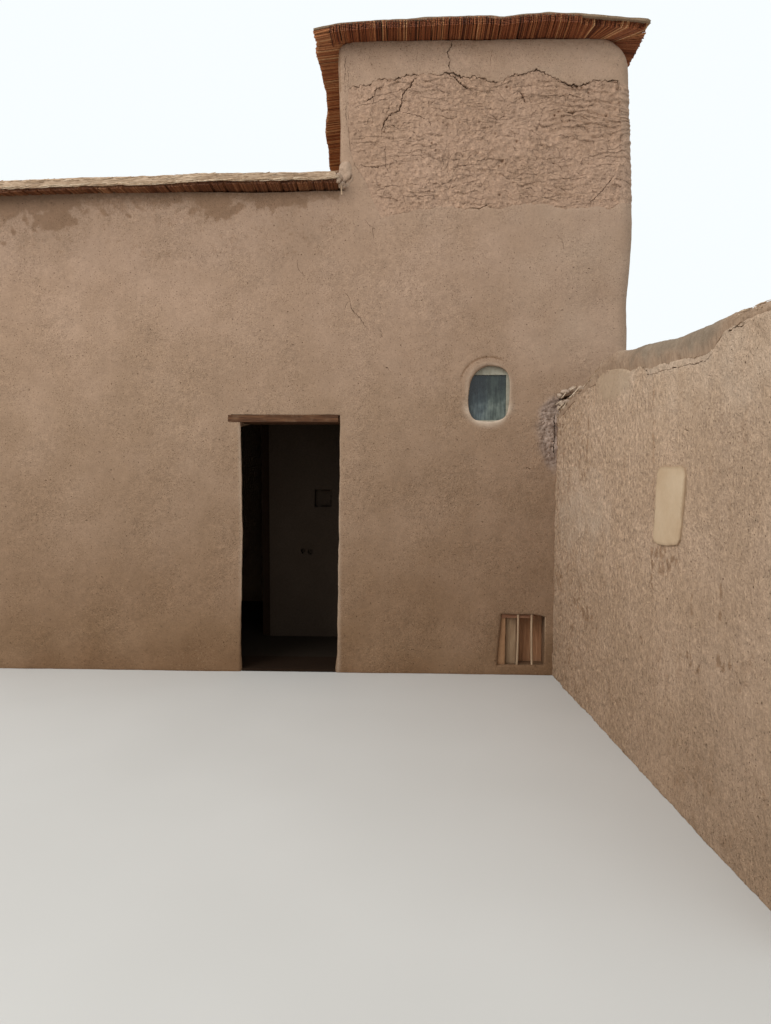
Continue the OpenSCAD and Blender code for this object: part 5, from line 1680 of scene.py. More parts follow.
# ------------------------------------------------------------------ reeds and straw
def tubes(name, A, B, rad, tone, material, sides=6, cuts=(0.0, 0.5, 0.985, 1.0), bend=None, taper=0.0, flat=None, **kw):
    A, B = np.asarray(A, float), np.asarray(B, float)
    n = len(A)
    t = np.array(cuts, float)
    D = B - A
    d = D / np.linalg.norm(D, axis=1, keepdims=True)
    ref = np.where(np.abs(d[:, 2:3]) > 0.9, np.array([[1.0, 0.0, 0.0]]), np.array([[0.0, 0.0, 1.0]]))
    e1 = np.cross(d, ref)
    e1 /= np.linalg.norm(e1, axis=1, keepdims=True)
    e2 = np.cross(d, e1)
    C = A[:, None] + D[:, None] * t[None, :, None]
    if bend is not None:
        C = C + np.asarray(bend)[:, None] * (4 * t * (1 - t))[None, :, None]
    a = np.arange(sides) * 2 * math.pi / sides + 0.3
    ring = np.cos(a)[None, :, None] * e1[:, None] + np.sin(a)[None, :, None] * e2[:, None]
    r = np.asarray(rad, float)[:, None] * (1 - taper * t)[None]
    V = (C[:, :, None] + ring[:, None] * r[:, :, None, None]).reshape(-1, 3)
    k = len(t)
    idx = np.arange(n * k * sides).reshape(n, k, sides)
    nx = np.roll(idx, -1, axis=2)
    quads = np.stack([idx[:, :-1], nx[:, :-1], nx[:, 1:], idx[:, 1:]], -1).reshape(-1, 4)
    caps = np.concatenate([idx[:, 0, ::-1], idx[:, -1, :]])
    at = {"tone": np.repeat(np.clip(tone, 0, 1), k * sides),
          "along": np.tile(np.repeat(t, sides), n),
          "tip": np.tile(np.repeat((t > 0.999).astype(float), sides), n)}
    ob = make(name, V, [quads, caps], material, at, sharp=50, **kw)
    print(name, "tubes", n, "triangles", len(quads) * 2 + len(caps) * (sides - 2))
    return ob


SAG_U = [0.0, 0.069, 0.284, 0.538, 0.791, 1.021, 1.12, 1.175, 1.28, 1.502, 1.724, 1.946, 2.208]
SAG_Z = [-0.034, -0.026, -0.013, -0.010, 0.002, 0.004, 0.000, -0.011, 0.0, 0.009, -0.003, -0.024, -0.045]


def sag(u, y):
    """How far the eave sinks below the level of the wall head."""
    f = np.interp(u, SAG_U, SAG_Z) * np.clip(-y / 0.18, 0, 1.15)
    f = f - 0.032 * np.clip(-u / 0.17, 0, 1.5)
    f = f - 0.022 * np.clip((u - 2.0) / 0.2, 0, 1.3) * smooth(y, -0.15, 0.1)
    f = f - 0.03 * np.clip((y - DEEP) / 0.17, 0, 1.2)
    return f


def eave_left(y):
    return np.interp(y, [-0.2, -0.10, -0.02, 0.13, 0.3, 0.7, 1.05, 1.2, 1.43, 1.8, 2.23, 3.4], [-0.160, -0.155, -0.150, -0.172, -0.168, -0.166, -0.190, -0.225, -0.251, -0.270, -0.300, -0.335])


BED = 4.7055


def reed_tone(r, at, mean):
    """One tone a reed, in handfuls that differ a little, with a few dark and a few bleached."""
    t = r.normal(mean, 0.13, len(at)) + 0.13 * noise(np.column_stack([at, at * 0, at * 0]), 11.0, 118)
    pick = r.uniform(0, 1, len(at))
    return np.clip(np.where(pick < 0.14, t - 0.34, np.where(pick > 0.92, t + 0.33, t)), 0, 1)


def lay(A2, B2, layer, r, jz=0.0010):
    """Reeds between plan points, resting on the wall head and following its sag."""
    n = len(A2)
    za = BED + 0.0098 * layer + r.normal(0, jz, n) * 0.6 + sag(A2[:, 0], A2[:, 1])
    zb = BED + 0.0098 * layer + r.normal(0, jz, n) + sag(B2[:, 0], B2[:, 1])
    return np.column_stack([A2, za]), np.column_stack([B2, zb])


def gather(rows):
    return tuple(np.concatenate(x) for x in zip(*rows))


def build_tower_reeds():
    r = np.random.default_rng(501)
    # front, running out of the wall head, fanned towards the right corner; the layers lie
    # stalk upon stalk
    rows = []
    U0 = np.arange(-0.035, 1.74, 0.0079)
    U0 = U0 + r.normal(0, 0.0010, len(U0))
    T0 = reed_tone(r, U0, 0.44)
    lean0 = r.normal(0.0, 0.003, len(U0)) + 0.004 * np.sin(U0 * 3.1)
    wave0 = 0.004 * noise(np.column_stack([U0, U0 * 0, U0 * 0]), 2.6, 119) + r.normal(0, 0.0012, len(U0))
    t = np.linspace(0, 1, 62)
    ang0 = np.radians(np.interp(t, [0, 0.2, 0.45, 0.7, 1.0], [0, 10, 26, 37, 42])) + r.normal(0, 0.015, len(t))
    root = np.column_stack([1.735 + 0.315 * t, 0.02 * smooth(t, 0.6, 1.0) + np.zeros(len(t))])
    T1 = reed_tone(r, root[:, 0], 0.44)
    for j in range(5):
        u = U0 + r.normal(0, 0.0005, len(U0))
        k = len(u)
        tip = -(0.177 + 0.008 * j / 4) + wave0 + r.normal(0, 0.0012, k) - 0.012 * smooth(u, 0.9, 1.5)
        A2 = np.column_stack([u, np.full(k, 0.14)])
        B2 = np.column_stack([u + lean0 + r.normal(0, 0.0005, k), tip])
        rows.append(lay(A2, B2, j, r, 0.0006) + (r.uniform(0.0037, 0.0046, k), np.clip(T0 + r.normal(0, 0.05, k), 0, 1)))
        # fan
        ang = ang0 + r.normal(0, 0.004, len(t))
        d2 = np.column_stack([np.sin(ang), -np.cos(ang)])
        reach = np.minimum((0.160 + 0.012 * j / 4) / np.cos(ang), (2.240 - root[:, 0]) / np.maximum(np.sin(ang), 1e-3)) + r.normal(0, 0.0022, len(t))
        A2 = root - d2 * 0.13
        B2 = root + d2 * reach[:, None]
        rows.append(lay(A2, B2, j, r, 0.0006) + (r.uniform(0.0038, 0.0050, len(t)), np.clip(T1 + r.normal(0, 0.05, len(t)), 0, 1)))
    A, B, rad, tone = gather(rows)
    tubes("reeds_front", A, B, rad, tone, REED, sides=6, cuts=(0.0, 0.45, 0.75, 0.985, 1.0), bend=np.column_stack([r.normal(0, 0.0008, len(A)), np.zeros(len(A)), r.normal(0, 0.0006, len(A))]),
          slot="reed", replaces=("tower_eave_front",))
    # left, running along the front, out to the left
    rows = []
    Y0 = np.arange(-0.178, DEEP + 0.15, 0.0080)
    Y0 = Y0 + r.normal(0, 0.0010, len(Y0))
    T0 = reed_tone(r, Y0, 0.66)
    wave0 = 0.008 * noise(np.column_stack([Y0, Y0 * 0, Y0 * 0]), 3.0, 120) + r.normal(0, 0.0018, len(Y0))
    for j in range(4):
        on = (Y0 > -0.158) | (j > 1)
        y = Y0[on] + r.normal(0, 0.0005, on.sum())
        end = eave_left(y) + wave0[on] + r.normal(0, 0.0018, len(y)) + 0.004 * (3 - j) / 3
        inner = np.where(y < -0.01, -0.032, 0.13)
        A2 = np.column_stack([inner, y])
        B2 = np.column_stack([end, y + r.normal(0, 0.003, len(y))])
        rows.append(lay(A2, B2, j, r, 0.0007) + (r.uniform(0.0037, 0.0047, len(y)), np.clip(T0[on] + r.normal(0, 0.06, len(y)), 0, 1)))
    A, B, rad, tone = gather(rows)
    tubes("reeds_left", A, B, rad, tone, REED, sides=5, cuts=(0.0, 0.5, 0.985, 1.0), bend=np.column_stack([np.zeros(len(A)), r.normal(0, 0.001, len(A)), r.normal(0, 0.001, len(A))]),
          slot="reed", replaces=("tower_eave_left",))
    # right
    rows = []
    for j in range(4):
        y = np.arange(0.035, DEEP + 0.15, 0.0080)
        y = y + r.normal(0, 0.0010, len(y))
        ang = np.radians(np.interp(y, [0.03, 0.06, 0.18, 0.5], [66, 80, 97, 90]))
        a0 = np.interp(y, [0.03, 0.1, 0.3], [2.00, 2.02, 2.02])
        ln = 2.216 - a0 + 0.005 * noise(np.column_stack([y, y * 0 + 9 + j, y * 0]), 5.0, 121) + r.normal(0, 0.003, len(y))
        A2 = np.column_stack([a0 - 0.10, y - 0.10 * -np.cos(ang)])
        B2 = np.column_stack([a0 + ln, y - ln * np.cos(ang) / np.sin(ang)])
        rows.append(lay(A2, B2, j, r) + (r.uniform(0.0038, 0.0050, len(y)), reed_tone(r, y, 0.48)))
    A, B, rad, tone = gather(rows)
    tubes("reeds_right", A, B, rad, tone, REED, sides=5, cuts=(0.0, 0.5, 0.985, 1.0), slot="reed", replaces=("tower_eave_right",))
    # back
    rows = []
    for j in range(3):
        u = np.arange(-0.12, 2.13, 0.0082)
        u = u + r.normal(0, 0.001, len(u))
        A2 = np.column_stack([u, np.full(len(u), DEEP - 0.12)])
        B2 = np.column_stack([u + r.normal(0, 0.004, len(u)), DEEP + 0.158 + 0.006 * j + r.normal(0, 0.0035, len(u))])
        rows.append(lay(A2, B2, j + 0.5, r) + (r.uniform(0.0038, 0.0048, len(u)), reed_tone(r, u, 0.46)))
    A, B, rad, tone = gather(rows)
    tubes("reeds_back", A, B, rad, tone, REED, sides=5, cuts=(0.0, 0.985, 1.0), slot="reed", replaces=("tower_eave_back",))


build_tower_reeds()

RIM_U = [-3.4, -2.461, -2.046, -1.598, -1.44, -1.22, -1.003, -0.67, -0.56, -0.34, -0.267, -0.12, 0.026]
RIM_Z = [3.665, 3.683, 3.699, 3.706, 3.706, 3.714, 3.724, 3.7235, 3.725, 3.725, 3.723, 3.727, 3.731]


def rim_top(u):
    return np.interp(u, RIM_U, RIM_Z)


JOINTS = [-0.717, -0.616, -0.515, -0.409, -0.299, -0.194, -0.093, 0.012]


def build_wing_reeds(name, front):
    r = np.random.default_rng(601 if front else 602)
    edges = list(JOINTS) if front else [-0.71, -0.60, -0.50, -0.40, -0.29, -0.19, -0.09, 0.0]
    while edges[0] > LEFT + 0.12:
        edges.insert(0, edges[0] - r.uniform(0.098, 0.112))
    edges[0] = max(edges[0], LEFT - 0.005)
    rows = []
    hang = lambda u: 0.056 + 0.004 * smooth(u, -0.80, -1.0)
    for a, b in zip(edges[:-1], edges[1:]):
        w = b - a - 0.006
        k = max(8, int(w / 0.0083))
        drop = r.normal(0, 0.001)
        push = r.normal(0, 0.004)
        tone0 = r.normal(0.46, 0.08)
        if front and -2.0 < a < -1.35:
            tone0 += 0.2 * r.uniform(0, 1)
        for j in range(3):
            u = np.linspace(a + 0.006, b - 0.006, k) + r.normal(0, 0.0007, k)
            if j == 0:
                u = u[1:-1]
            n = len(u)
            zt = rim_top(u) - hang(u) - 0.0088 * (2 - j) + drop
            za = 3.634 + 0.0088 * j
            y1 = -0.113 + 0.5 * push + r.normal(0, 0.0010, n) + 0.002 * (2 - j) / 2
            if front:
                A = np.column_stack([u, np.full(n, 0.10), np.full(n, za)])
                B = np.column_stack([u + r.normal(0, 0.001, n), y1, zt + r.normal(0, 0.0009, n)])
            else:
                A = np.column_stack([u, np.full(n, DEEP - 0.10), np.full(n, za)])
                B = np.column_stack([u + r.normal(0, 0.001, n), DEEP - y1, za - 0.012 + r.normal(0, 0.0009, n)])
            rows.append((A, B, r.uniform(0.0038, 0.0047, n), np.clip(r.normal(tone0, 0.14, n), 0, 1)))
    A, B, rad, tone = gather(rows)
    tubes(name, A, B, rad, tone, REED_WING, sides=5 if front else 5, cuts=(0.0, 0.985, 1.0) if not front else (0.0, 0.45, 0.984, 1.0), slot="reed",
          replaces=("wing_eave_front",) if front else ("wing_eave_back",))


build_wing_reeds("reed_bundles_front", True)
build_wing_reeds("reed_bundles_back", False)


# ------------------------------------------------------------------ roof tops
def pad(name, outline, h, top, bottom, material, seed, rim=0.012, **kw):
    """A spread layer of mud: uneven top, rounded edge, flat underside."""
    P, _ = subdivide(outline, [0.0] * len(outline), h)
    P, _ = turned(P, np.zeros(len(P)), True)
    N = corner_normals(P)
    q = flat3(P[:, 0], P[:, 1], 5)
    P = P + N * (0.007 * noise(q, 3.0, seed) + 0.004 * noise(q, 11.0, seed + 1))[:, None]
    g = hexgrid(P.min(0), P.max(0), h, seed)
    g = clear_of(g[inside(g, P)], [(P, True)], h * 0.5)
    V, F, pl = triangulate([(P, True)], g, lambda c: inside(c, P))
    e = np.full(len(V), 1e9)
    for i in range(0, len(P), 200):
        k = P[i:i + 200]
        e = np.minimum(e, np.sqrt(((V[:, None, :] - k[None]) ** 2).sum(2).min(1)))
    zt, zb = top(V[:, 0], V[:, 1], e), bottom(P[:, 0], P[:, 1])
    n = len(V)
    T = np.column_stack([V, zt])
    i0 = pl[:len(P)]
    # the stored inset lets the rim bulge a little
    zr = zt[i0]
    mid = np.column_stack([P - N * -rim * 0.6, 0.35 * zr + 0.65 * zb])
    T[i0, :2] = P - N * rim * 0.5 * 0 + N * 0.0
    low = np.column_stack([P - N * 0.0, zb])
    V2, F2, pl2 = triangulate([(P, True)], np.zeros((0, 2)), lambda c: inside(c, P))
    rows = np.concatenate([T, mid, low])
    a, b, c = i0, n + np.arange(len(P)), n + len(P) + np.arange(len(P))
    def strip(x, y):
        x2, y2 = np.roll(x, -1), np.roll(y, -1)
        return np.stack([x2, x, y, y2], 1)
    quads = np.concatenate([strip(a, b), strip(b, c)])
    inv = np.full(len(V2), -1)
    inv[pl2[:len(P)]] = c
    tri2 = inv[F2][:, ::-1]
    suv = np.column_stack([rows[:, 0], rows[:, 1] + rows[:, 2], np.zeros(len(rows))])
    at = {"suv": suv, "pale": np.zeros(len(rows)), "crack": np.zeros(len(rows))}
    print(name, "triangles", len(F) + 2 * len(quads) + len(tri2))
    return make(name, rows, [F, quads, tri2], material, at, sharp=60, **kw)


def tower_top(u, y, e):
    p = np.column_stack([u, y, np.full(len(u), 4.8)])
    base = BED + 0.041 + sag(u, y)
    rise = 0.010 + 0.020 * smooth(e, 0.0, 0.09) + 0.032 * smooth(e, 0.06, 0.30)
    f = 0.006 * noise(p, 1.6, 131) + 0.004 * noise(p, 5.0, 132) + 0.0022 * noise(p, 15.0, 133) + 0.0012 * noise(p, 40.0, 134)
    # thin and patchy near the front left, thicker to the right
    thin = smooth(u, 0.75, 0.2) * smooth(y, 0.0, -0.12)
    rag = 0.0030 * np.clip(noise(p, 9.0, 135), -0.6, 1) + 0.0018 * noise(p, 27.0, 136)
    return base + rise * (1 - 0.2 * thin) + f * smooth(e, -0.02, 0.1) + rag


def tower_under(u, y):
    return BED + 0.036 + sag(u, y)


def tower_ring():
    pts = []
    for u in np.linspace(-0.150, 2.19, 26):
        pts.append((u, -0.184 - 0.015 * smooth(u, 0.9, 1.5)))
    pts.append((2.222, -0.160))
    for y in np.linspace(-0.1, DEEP + 0.15, 30):
        pts.append((2.208 + 0.012 * (y < 0), y))
    for u in np.linspace(2.1, -0.2, 24):
        pts.append((u, DEEP + 0.158))
    for y in np.linspace(DEEP + 0.1, -0.12, 34):
        pts.append((float(eave_left(y)) + 0.005, y))
    return pts


pad("tower_roof_top", tower_ring(), 0.034, tower_top, tower_under, ROOF, 141, slot="mud_roof", replaces=("tower_roof_mud",))


def wing_top(u, y, e):
    p = np.column_stack([u, y, np.full(len(u), 3.7)])
    front = np.clip((0.12 - y) / 0.22, 0, 1)
    base = 3.742 * (1 - front) + (rim_top(u) - 0.006) * front
    f = 0.006 * noise(p, 1.5, 151) + 0.004 * noise(p, 4.6, 152) + 0.002 * noise(p, 14.0, 153) + 0.0012 * noise(p, 38.0, 154)
    up = 0.055 * smooth(u, -0.11, 0.0) ** 1.5 * smooth(y, 0.0, 0.12)          # built up against the tower
    return base + f + up - 0.022 * smooth(e, 0.05, 0.0) * (y > 0.2)


def wing_under(u, y):
    front = np.clip((0.12 - y) / 0.22, 0, 1)
    return 3.684 * (1 - front) + (rim_top(u) - 0.054) * front


pad("wing_roof_top", [(LEFT - 0.005, -0.112), (-1.6, -0.112), (-0.004, -0.112), (-0.004, 1.5), (-0.004, DEEP + 0.112), (-1.6, DEEP + 0.112), (LEFT - 0.005, DEEP + 0.112), (LEFT - 0.005, 1.5)],
    0.040, wing_top, wing_under, ROOF, 161, slot="mud_roof", replaces=("wing_roof_mud",))


def roll(name, S, centre, ry, rz, material, seed, around=14, lump=0.006, **kw):
    """A hand-formed roll of mud and straw along a line of points."""
    n = len(S)
    a = np.arange(around) * 2 * math.pi / around
    T = np.gradient(centre, axis=0)
    T /= np.linalg.norm(T, axis=1, keepdims=True)
    side = np.cross(T, np.array([0, 0, 1.0]))
    side /= np.linalg.norm(side, axis=1, keepdims=True)
    upv = np.cross(side, T)
    dirs = np.cos(a)[None, :, None] * side[:, None] + np.sin(a)[None, :, None] * upv[:, None]
    rr = (np.cos(a)[None] ** 2 * np.asarray(ry)[:, None] + np.sin(a)[None] ** 2 * np.asarray(rz)[:, None])
    V = centre[:, None] + dirs * rr[..., None]
    k = (lump * noise(V.reshape(-1, 3), 9.0, seed) + lump * 0.55 * noise(V.reshape(-1, 3), 26.0, seed + 1) + lump * 0.3 * noise(V.reshape(-1, 3), 70.0, seed + 2)).reshape(n, around)
    V = V + dirs * k[..., None]
    idx = np.arange(n * around).reshape(n, around)
    nx = np.roll(idx, -1, 1)
    quads = np.stack([idx[:-1], nx[:-1], nx[1:], idx[1:]], -1).reshape(-1, 4)
    # side x up points along -T, so turn the faces outward
    quads = quads[:, ::-1] if np.dot(np.cross(dirs[0, 0], dirs[0, around // 4]), T[0]) < 0 else quads
    caps = [idx[0][::-1][None], idx[-1][None]] if np.dot(np.cross(dirs[0, 0], dirs[0, around // 4]), T[0]) > 0 else [idx[0][None], idx[-1][::-1][None]]
    suv = np.stack([np.repeat(S[:, None], around, 1), np.repeat((a * 0.03)[None], n, 0), np.zeros((n, around))], -1).reshape(-1, 3)
    at = {"suv": suv, "pale": np.full(n * around, 0.55), "crack": np.zeros(n * around)}
    print(name, "triangles", 2 * len(quads))
    return make(name, V.reshape(-1, 3), [quads] + caps, material, at, sharp=60, **kw)


def rim_mud():
    """The rolled edge of the wing's roof: mud full of combed straw."""
    M = Mat("rim_mud")
    p = M.pos()
    a = M.noise(p, 3.0, 4, 0.6)
    b = M.noise(M.mapping(p, scale=(0.16, 1.0, 1.0), rot=(0, math.radians(4), 0)), 130.0, 3, 0.65)
    d = M.noise(p, 28.0, 3, 0.6)
    f = M.math("ADD", M.math("ADD", M.math("MULTIPLY", a, 0.35), M.math("MULTIPLY", b, 0.45)), M.math("MULTIPLY", d, 0.2))
    c = M.ramp(f, [(0.34, lin(128, 103, 82)), (0.46, lin(162, 136, 112)), (0.56, lin(184, 159, 134)), (0.70, lin(206, 184, 160))])
    h = M.math("ADD", M.math("MULTIPLY", b, 0.9), M.math("MULTIPLY", d, 0.5))
    return M.finish(c, h, 0.004)


RIM = rim_mud()
STRAW = reed("straw", lin(134, 106, 80), lin(172, 144, 116), lin(200, 174, 146), lin(218, 198, 172))


def build_rim():
    S = np.arange(LEFT - 0.004, 0.004, 0.0105)
    p = np.column_stack([S, S * 0, S * 0])
    top = rim_top(S)
    deep = 0.055 + 0.005 * smooth(S, -0.80, -1.0) + 0.005 * noise(p, 2.6, 171) + 0.003 * noise(p, 11.0, 170)
    half = deep / 2
    c = np.column_stack([S, -0.114 + 0.004 * noise(p, 3.0, 172), top - half + 0.0015 * noise(p, 7.0, 173)])
    roll("wing_rim", S, c, np.full(len(S), 0.020), half, RIM, 174, slot="mud_roof", lump=0.0042)
    # combed straw along its lower edge, and a little lying on top
    r = np.random.default_rng(175)
    n = 460
    u = r.uniform(LEFT + 0.03, 0.0, n)
    L = r.uniform(0.05, 0.15, n)
    ang = np.radians(r.normal(3.5, 3.5, n))
    low = r.uniform(0, 1, n) < 0.72
    dp = np.interp(u, S, deep)
    zc = rim_top(u) - np.where(low, dp - r.uniform(0.000, 0.012, n), r.uniform(0.006, 0.030, n))
    y = -0.114 - 0.020 * np.sqrt(np.clip(1 - ((rim_top(u) - zc - dp / 2) / (dp / 2 + 0.002)) ** 2, 0.02, 1)) - r.uniform(0.000, 0.003, n)
    A = np.column_stack([u - L / 2 * np.cos(ang), y + r.normal(0, 0.002, n), zc - L / 2 * np.sin(ang)])
    B = np.column_stack([u + L / 2 * np.cos(ang), y + r.normal(0, 0.002, n), zc + L / 2 * np.sin(ang)])
    A[:, 0] = np.minimum(A[:, 0], 0.01)
    B[:, 0] = np.minimum(B[:, 0], 0.02)
    # the straw low on the edge a little paler: partly pale straw, partly a painted highlight along the lower edge
    tubes("rim_straw", A, B, r.uniform(0.0013, 0.0027, n), np.clip(r.normal(0.62, 0.2, n) + 0.15 * low, 0, 1), STRAW, sides=5, cuts=(0.0, 0.33, 0.66, 1.0),
          bend=np.column_stack([np.zeros(n), -r.uniform(0.0, 0.002, n), r.normal(-0.002, 0.002, n)]), slot="pale_reed")


build_rim()


def blob(name, rows, material, detail=24, groove=None, attrs=None, **kw):
    """Lumps of mud as one mesh. Each row is (centre, radii, unevenness, seed)."""
    m, k = detail, detail // 2
    th = (np.arange(1, k) / k) * math.pi
    ph = np.arange(m) * 2 * math.pi / m
    D = np.stack([np.sin(th)[:, None] * np.cos(ph)[None], np.sin(th)[:, None] * np.sin(ph)[None], np.repeat(np.cos(th)[:, None], m, 1)], -1).reshape(-1, 3)
    D = np.concatenate([D, [[0, 0, 1.0]], [[0, 0, -1.0]]])
    idx = np.arange((k - 1) * m).reshape(k - 1, m)
    nx = np.roll(idx, -1, axis=1)
    quads = np.stack([idx[:-1], idx[1:], nx[1:], nx[:-1]], -1).reshape(-1, 4)
    t, b = (k - 1) * m, (k - 1) * m + 1
    tri = np.concatenate([np.stack([np.full(m, t), idx[0], nx[0]], 1), np.stack([np.full(m, b), nx[-1], idx[-1]], 1)])
    PP, QQ, TT = [], [], []
    for centre, radii, lump, seed in rows:
        size = max(radii)
        P = np.array(centre) + D * np.array(radii)
        P = P + D * (lump * noise(P, 0.75 / size, seed) + 0.6 * lump * noise(P, 1.9 / size, seed + 1) + 0.3 * lump * noise(P, 4.5 / size, seed + 2))[:, None]
        off = sum(len(x) for x in PP)
        PP.append(P)
        QQ.append(quads + off)
        TT.append(tri + off)
    P = np.concatenate(PP)
    crack = np.zeros(len(P))
    if groove is not None:
        line, width, deep = groove
        L = np.array(line, float)
        best = np.full(len(P), 9.0)
        for a, c in zip(L[:-1], L[1:]):
            w = np.clip(((P[:, [0, 2]] - a) @ (c - a)) / ((c - a) @ (c - a)), 0, 1)
            best = np.minimum(best, np.linalg.norm(P[:, [0, 2]] - a - w[:, None] * (c - a), axis=1))
        g = smooth(best, width, width * 0.3) * (P[:, 1] < rows[0][0][1])
        P[:, 1] += deep * g
        # the groove is also darkened as painted shade
        crack = g
    at = {"suv": np.column_stack([P[:, 0], P[:, 2], np.zeros(len(P))]), "crack": crack, "pale": np.full(len(P), 0.25), "stain": np.zeros(len(P)), "cement": np.zeros(len(P))}
    for key, val in (attrs or {}).items():
        at[key] = np.full(len(P), float(val))
    return make(name, P, [np.concatenate(QQ), np.concatenate(TT)], material, at, sharp=60, **kw)


# mud built up where the wing's eave meets the tower
blob("eave_lump", [((0.056, 0.012, 3.738), (0.060, 0.036, 0.106), 0.014, 181)], MUD, detail=72,
     groove=([(0.052, 3.688), (0.070, 3.694), (0.078, 3.702), (0.094, 3.712), (0.104, 3.735)], 0.008, 0.020), slot="mud_render")
blob("eave_lump_low", [((-0.012, -0.070, 3.696), (0.050, 0.053, 0.026), 0.014, 183), ((0.036, -0.040, 3.658), (0.030, 0.034, 0.024), 0.010, 187),
                       ((0.010, -0.095, 3.672), (0.022, 0.020, 0.018), 0.007, 191)], MUD, detail=32, slot="mud_render", attrs={"pale": 0.45})
tubes("loose_reed", [(0.030, -0.062, 3.657)], [(0.036, -0.066, 3.579)], [0.0052], [0.55], STRAW, sides=7, slot="pale_reed")


# ------------------------------------------------------------------ joint of yard wall and house
def joint_rubble():
    rows = [((1.700, -0.006, 2.152), (0.034, 0.020, 0.018), 0.010, 201), ((1.752, -0.004, 2.166), (0.030, 0.018, 0.017), 0.009, 204),
            ((1.662, -0.004, 2.122), (0.018, 0.016, 0.017), 0.006, 207), ((1.674, -0.014, 2.062), (0.022, 0.018, 0.017), 0.007, 210),
            ((1.708, -0.016, 2.078), (0.024, 0.018, 0.013), 0.006, 213), ((1.655, -0.014, 2.030), (0.014, 0.014, 0.016), 0.005, 216),
            ((1.780, -0.010, 2.125), (0.024, 0.020, 0.016), 0.008, 219), ((1.815, -0.010, 2.170), (0.028, 0.018, 0.016), 0.009, 222)]
    blob("joint_lumps", rows, MUD, detail=24, slot="mud_render", attrs={"pale": 0.6, "cement": 0.2})
    r = np.random.default_rng(230)
    A, B = [], []
    for a, b in [((1.712, -0.034, 2.072), (1.650, -0.045, 1.995)), ((1.690, -0.030, 2.066), (1.642, -0.036, 2.016)), ((1.702, -0.038, 2.060), (1.668, -0.052, 1.990)),
                 ((1.672, -0.022, 2.082), (1.628, -0.026, 2.052)), ((1.742, -0.028, 2.118), (1.812, -0.040, 2.196)), ((1.728, -0.032, 2.104), (1.792, -0.052, 2.172)),
                 ((1.768, -0.026, 2.110), (1.840, -0.050, 2.200)), ((1.700, -0.030, 2.140), (1.668, -0.030, 2.100)), ((1.735, -0.024, 2.160), (1.775, -0.03, 2.186))]:
        A.append(a)
        B.append(b)
    # straw in the top of the wall near the house and at its rough far end
    for _ in range(190):
        k = r.uniform(-0.01, 0.95) if r.uniform() < 0.75 else r.uniform(2.6, 3.27)
        foot, crest = np.interp(k, FOOT_S, FOOT_Z) - 0.006, np.interp(k, CREST_S, CREST_Z)
        a = math.radians(r.uniform(8, 95))
        half = YARD_T / 2

        def at(kk, a):
            f, c = np.interp(kk, FOOT_S, FOOT_Z) - 0.006, np.interp(kk, CREST_S, CREST_Z)
            f = min(f, c - 0.012)
            return yard_at(kk, half - (half + 0.004) * np.sign(math.cos(a)) * abs(math.cos(a)) ** 0.26, f + (c - f) * math.sin(a) ** 0.48 + 0.002)
        L = r.uniform(0.02, 0.075)
        turn = r.normal(0, 0.5)
        k2 = min(k + L * math.cos(turn), 3.29)
        a2 = float(np.clip(a + L * math.sin(turn) / 0.15, 0.08, 1.75))
        p0, p1 = at(k, a), at(k2, a2)
        lift = r.uniform(0.0, 0.010) * (r.uniform() < 0.3) * (k < 1.0)
        A.append(tuple(p0))
        B.append((p1[0] - lift, p1[1], p1[2] + lift))
    n = len(A)
    tubes("wall_straw", A, B, np.where(np.arange(n) < 9, 0.0032, r.uniform(0.0012, 0.0024, n)), np.where(np.arange(n) < 9, 0.95, np.clip(r.normal(0.66, 0.2, n), 0, 1)), STRAW, sides=5,
          cuts=(0.0, 0.5, 1.0), bend=np.column_stack([np.zeros(n), np.zeros(n), r.normal(0, 0.002, n)]), slot="pale_reed")


joint_rubble()


# ------------------------------------------------------------------ inside, window, recess
def paint_node(name, *mats):
    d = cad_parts[name].data
    d.materials.clear()
    for mt in mats:
        d.materials.append(mt)


# the threshold, post, floors and inside walls take dark materials, as painted shade
for name, mt in {"door_lintel": LINTEL, "door_threshold": SILL, "tower_side_wall_front": INNER, "tower_side_wall_rear": INNER,
                 "inner_door_lintel": LINTEL, "screen_wall_post": POST, "wing_floor": FLOOR_MUD,
                 "tower_floor": FLOOR_MUD, "wing_roof_poles": POLE, "wing_reed_mat": REED_CAD, "tower_roof_poles": POLE_X,
                 "tower_reed_mat": REED_CAD, "window_frame": FRAME, "window_glass": GLASS, "niche_lintel": RED_BOARD,
                 "niche_back_board": BACK_BOARD}.items():
    paint_node(name, mt)


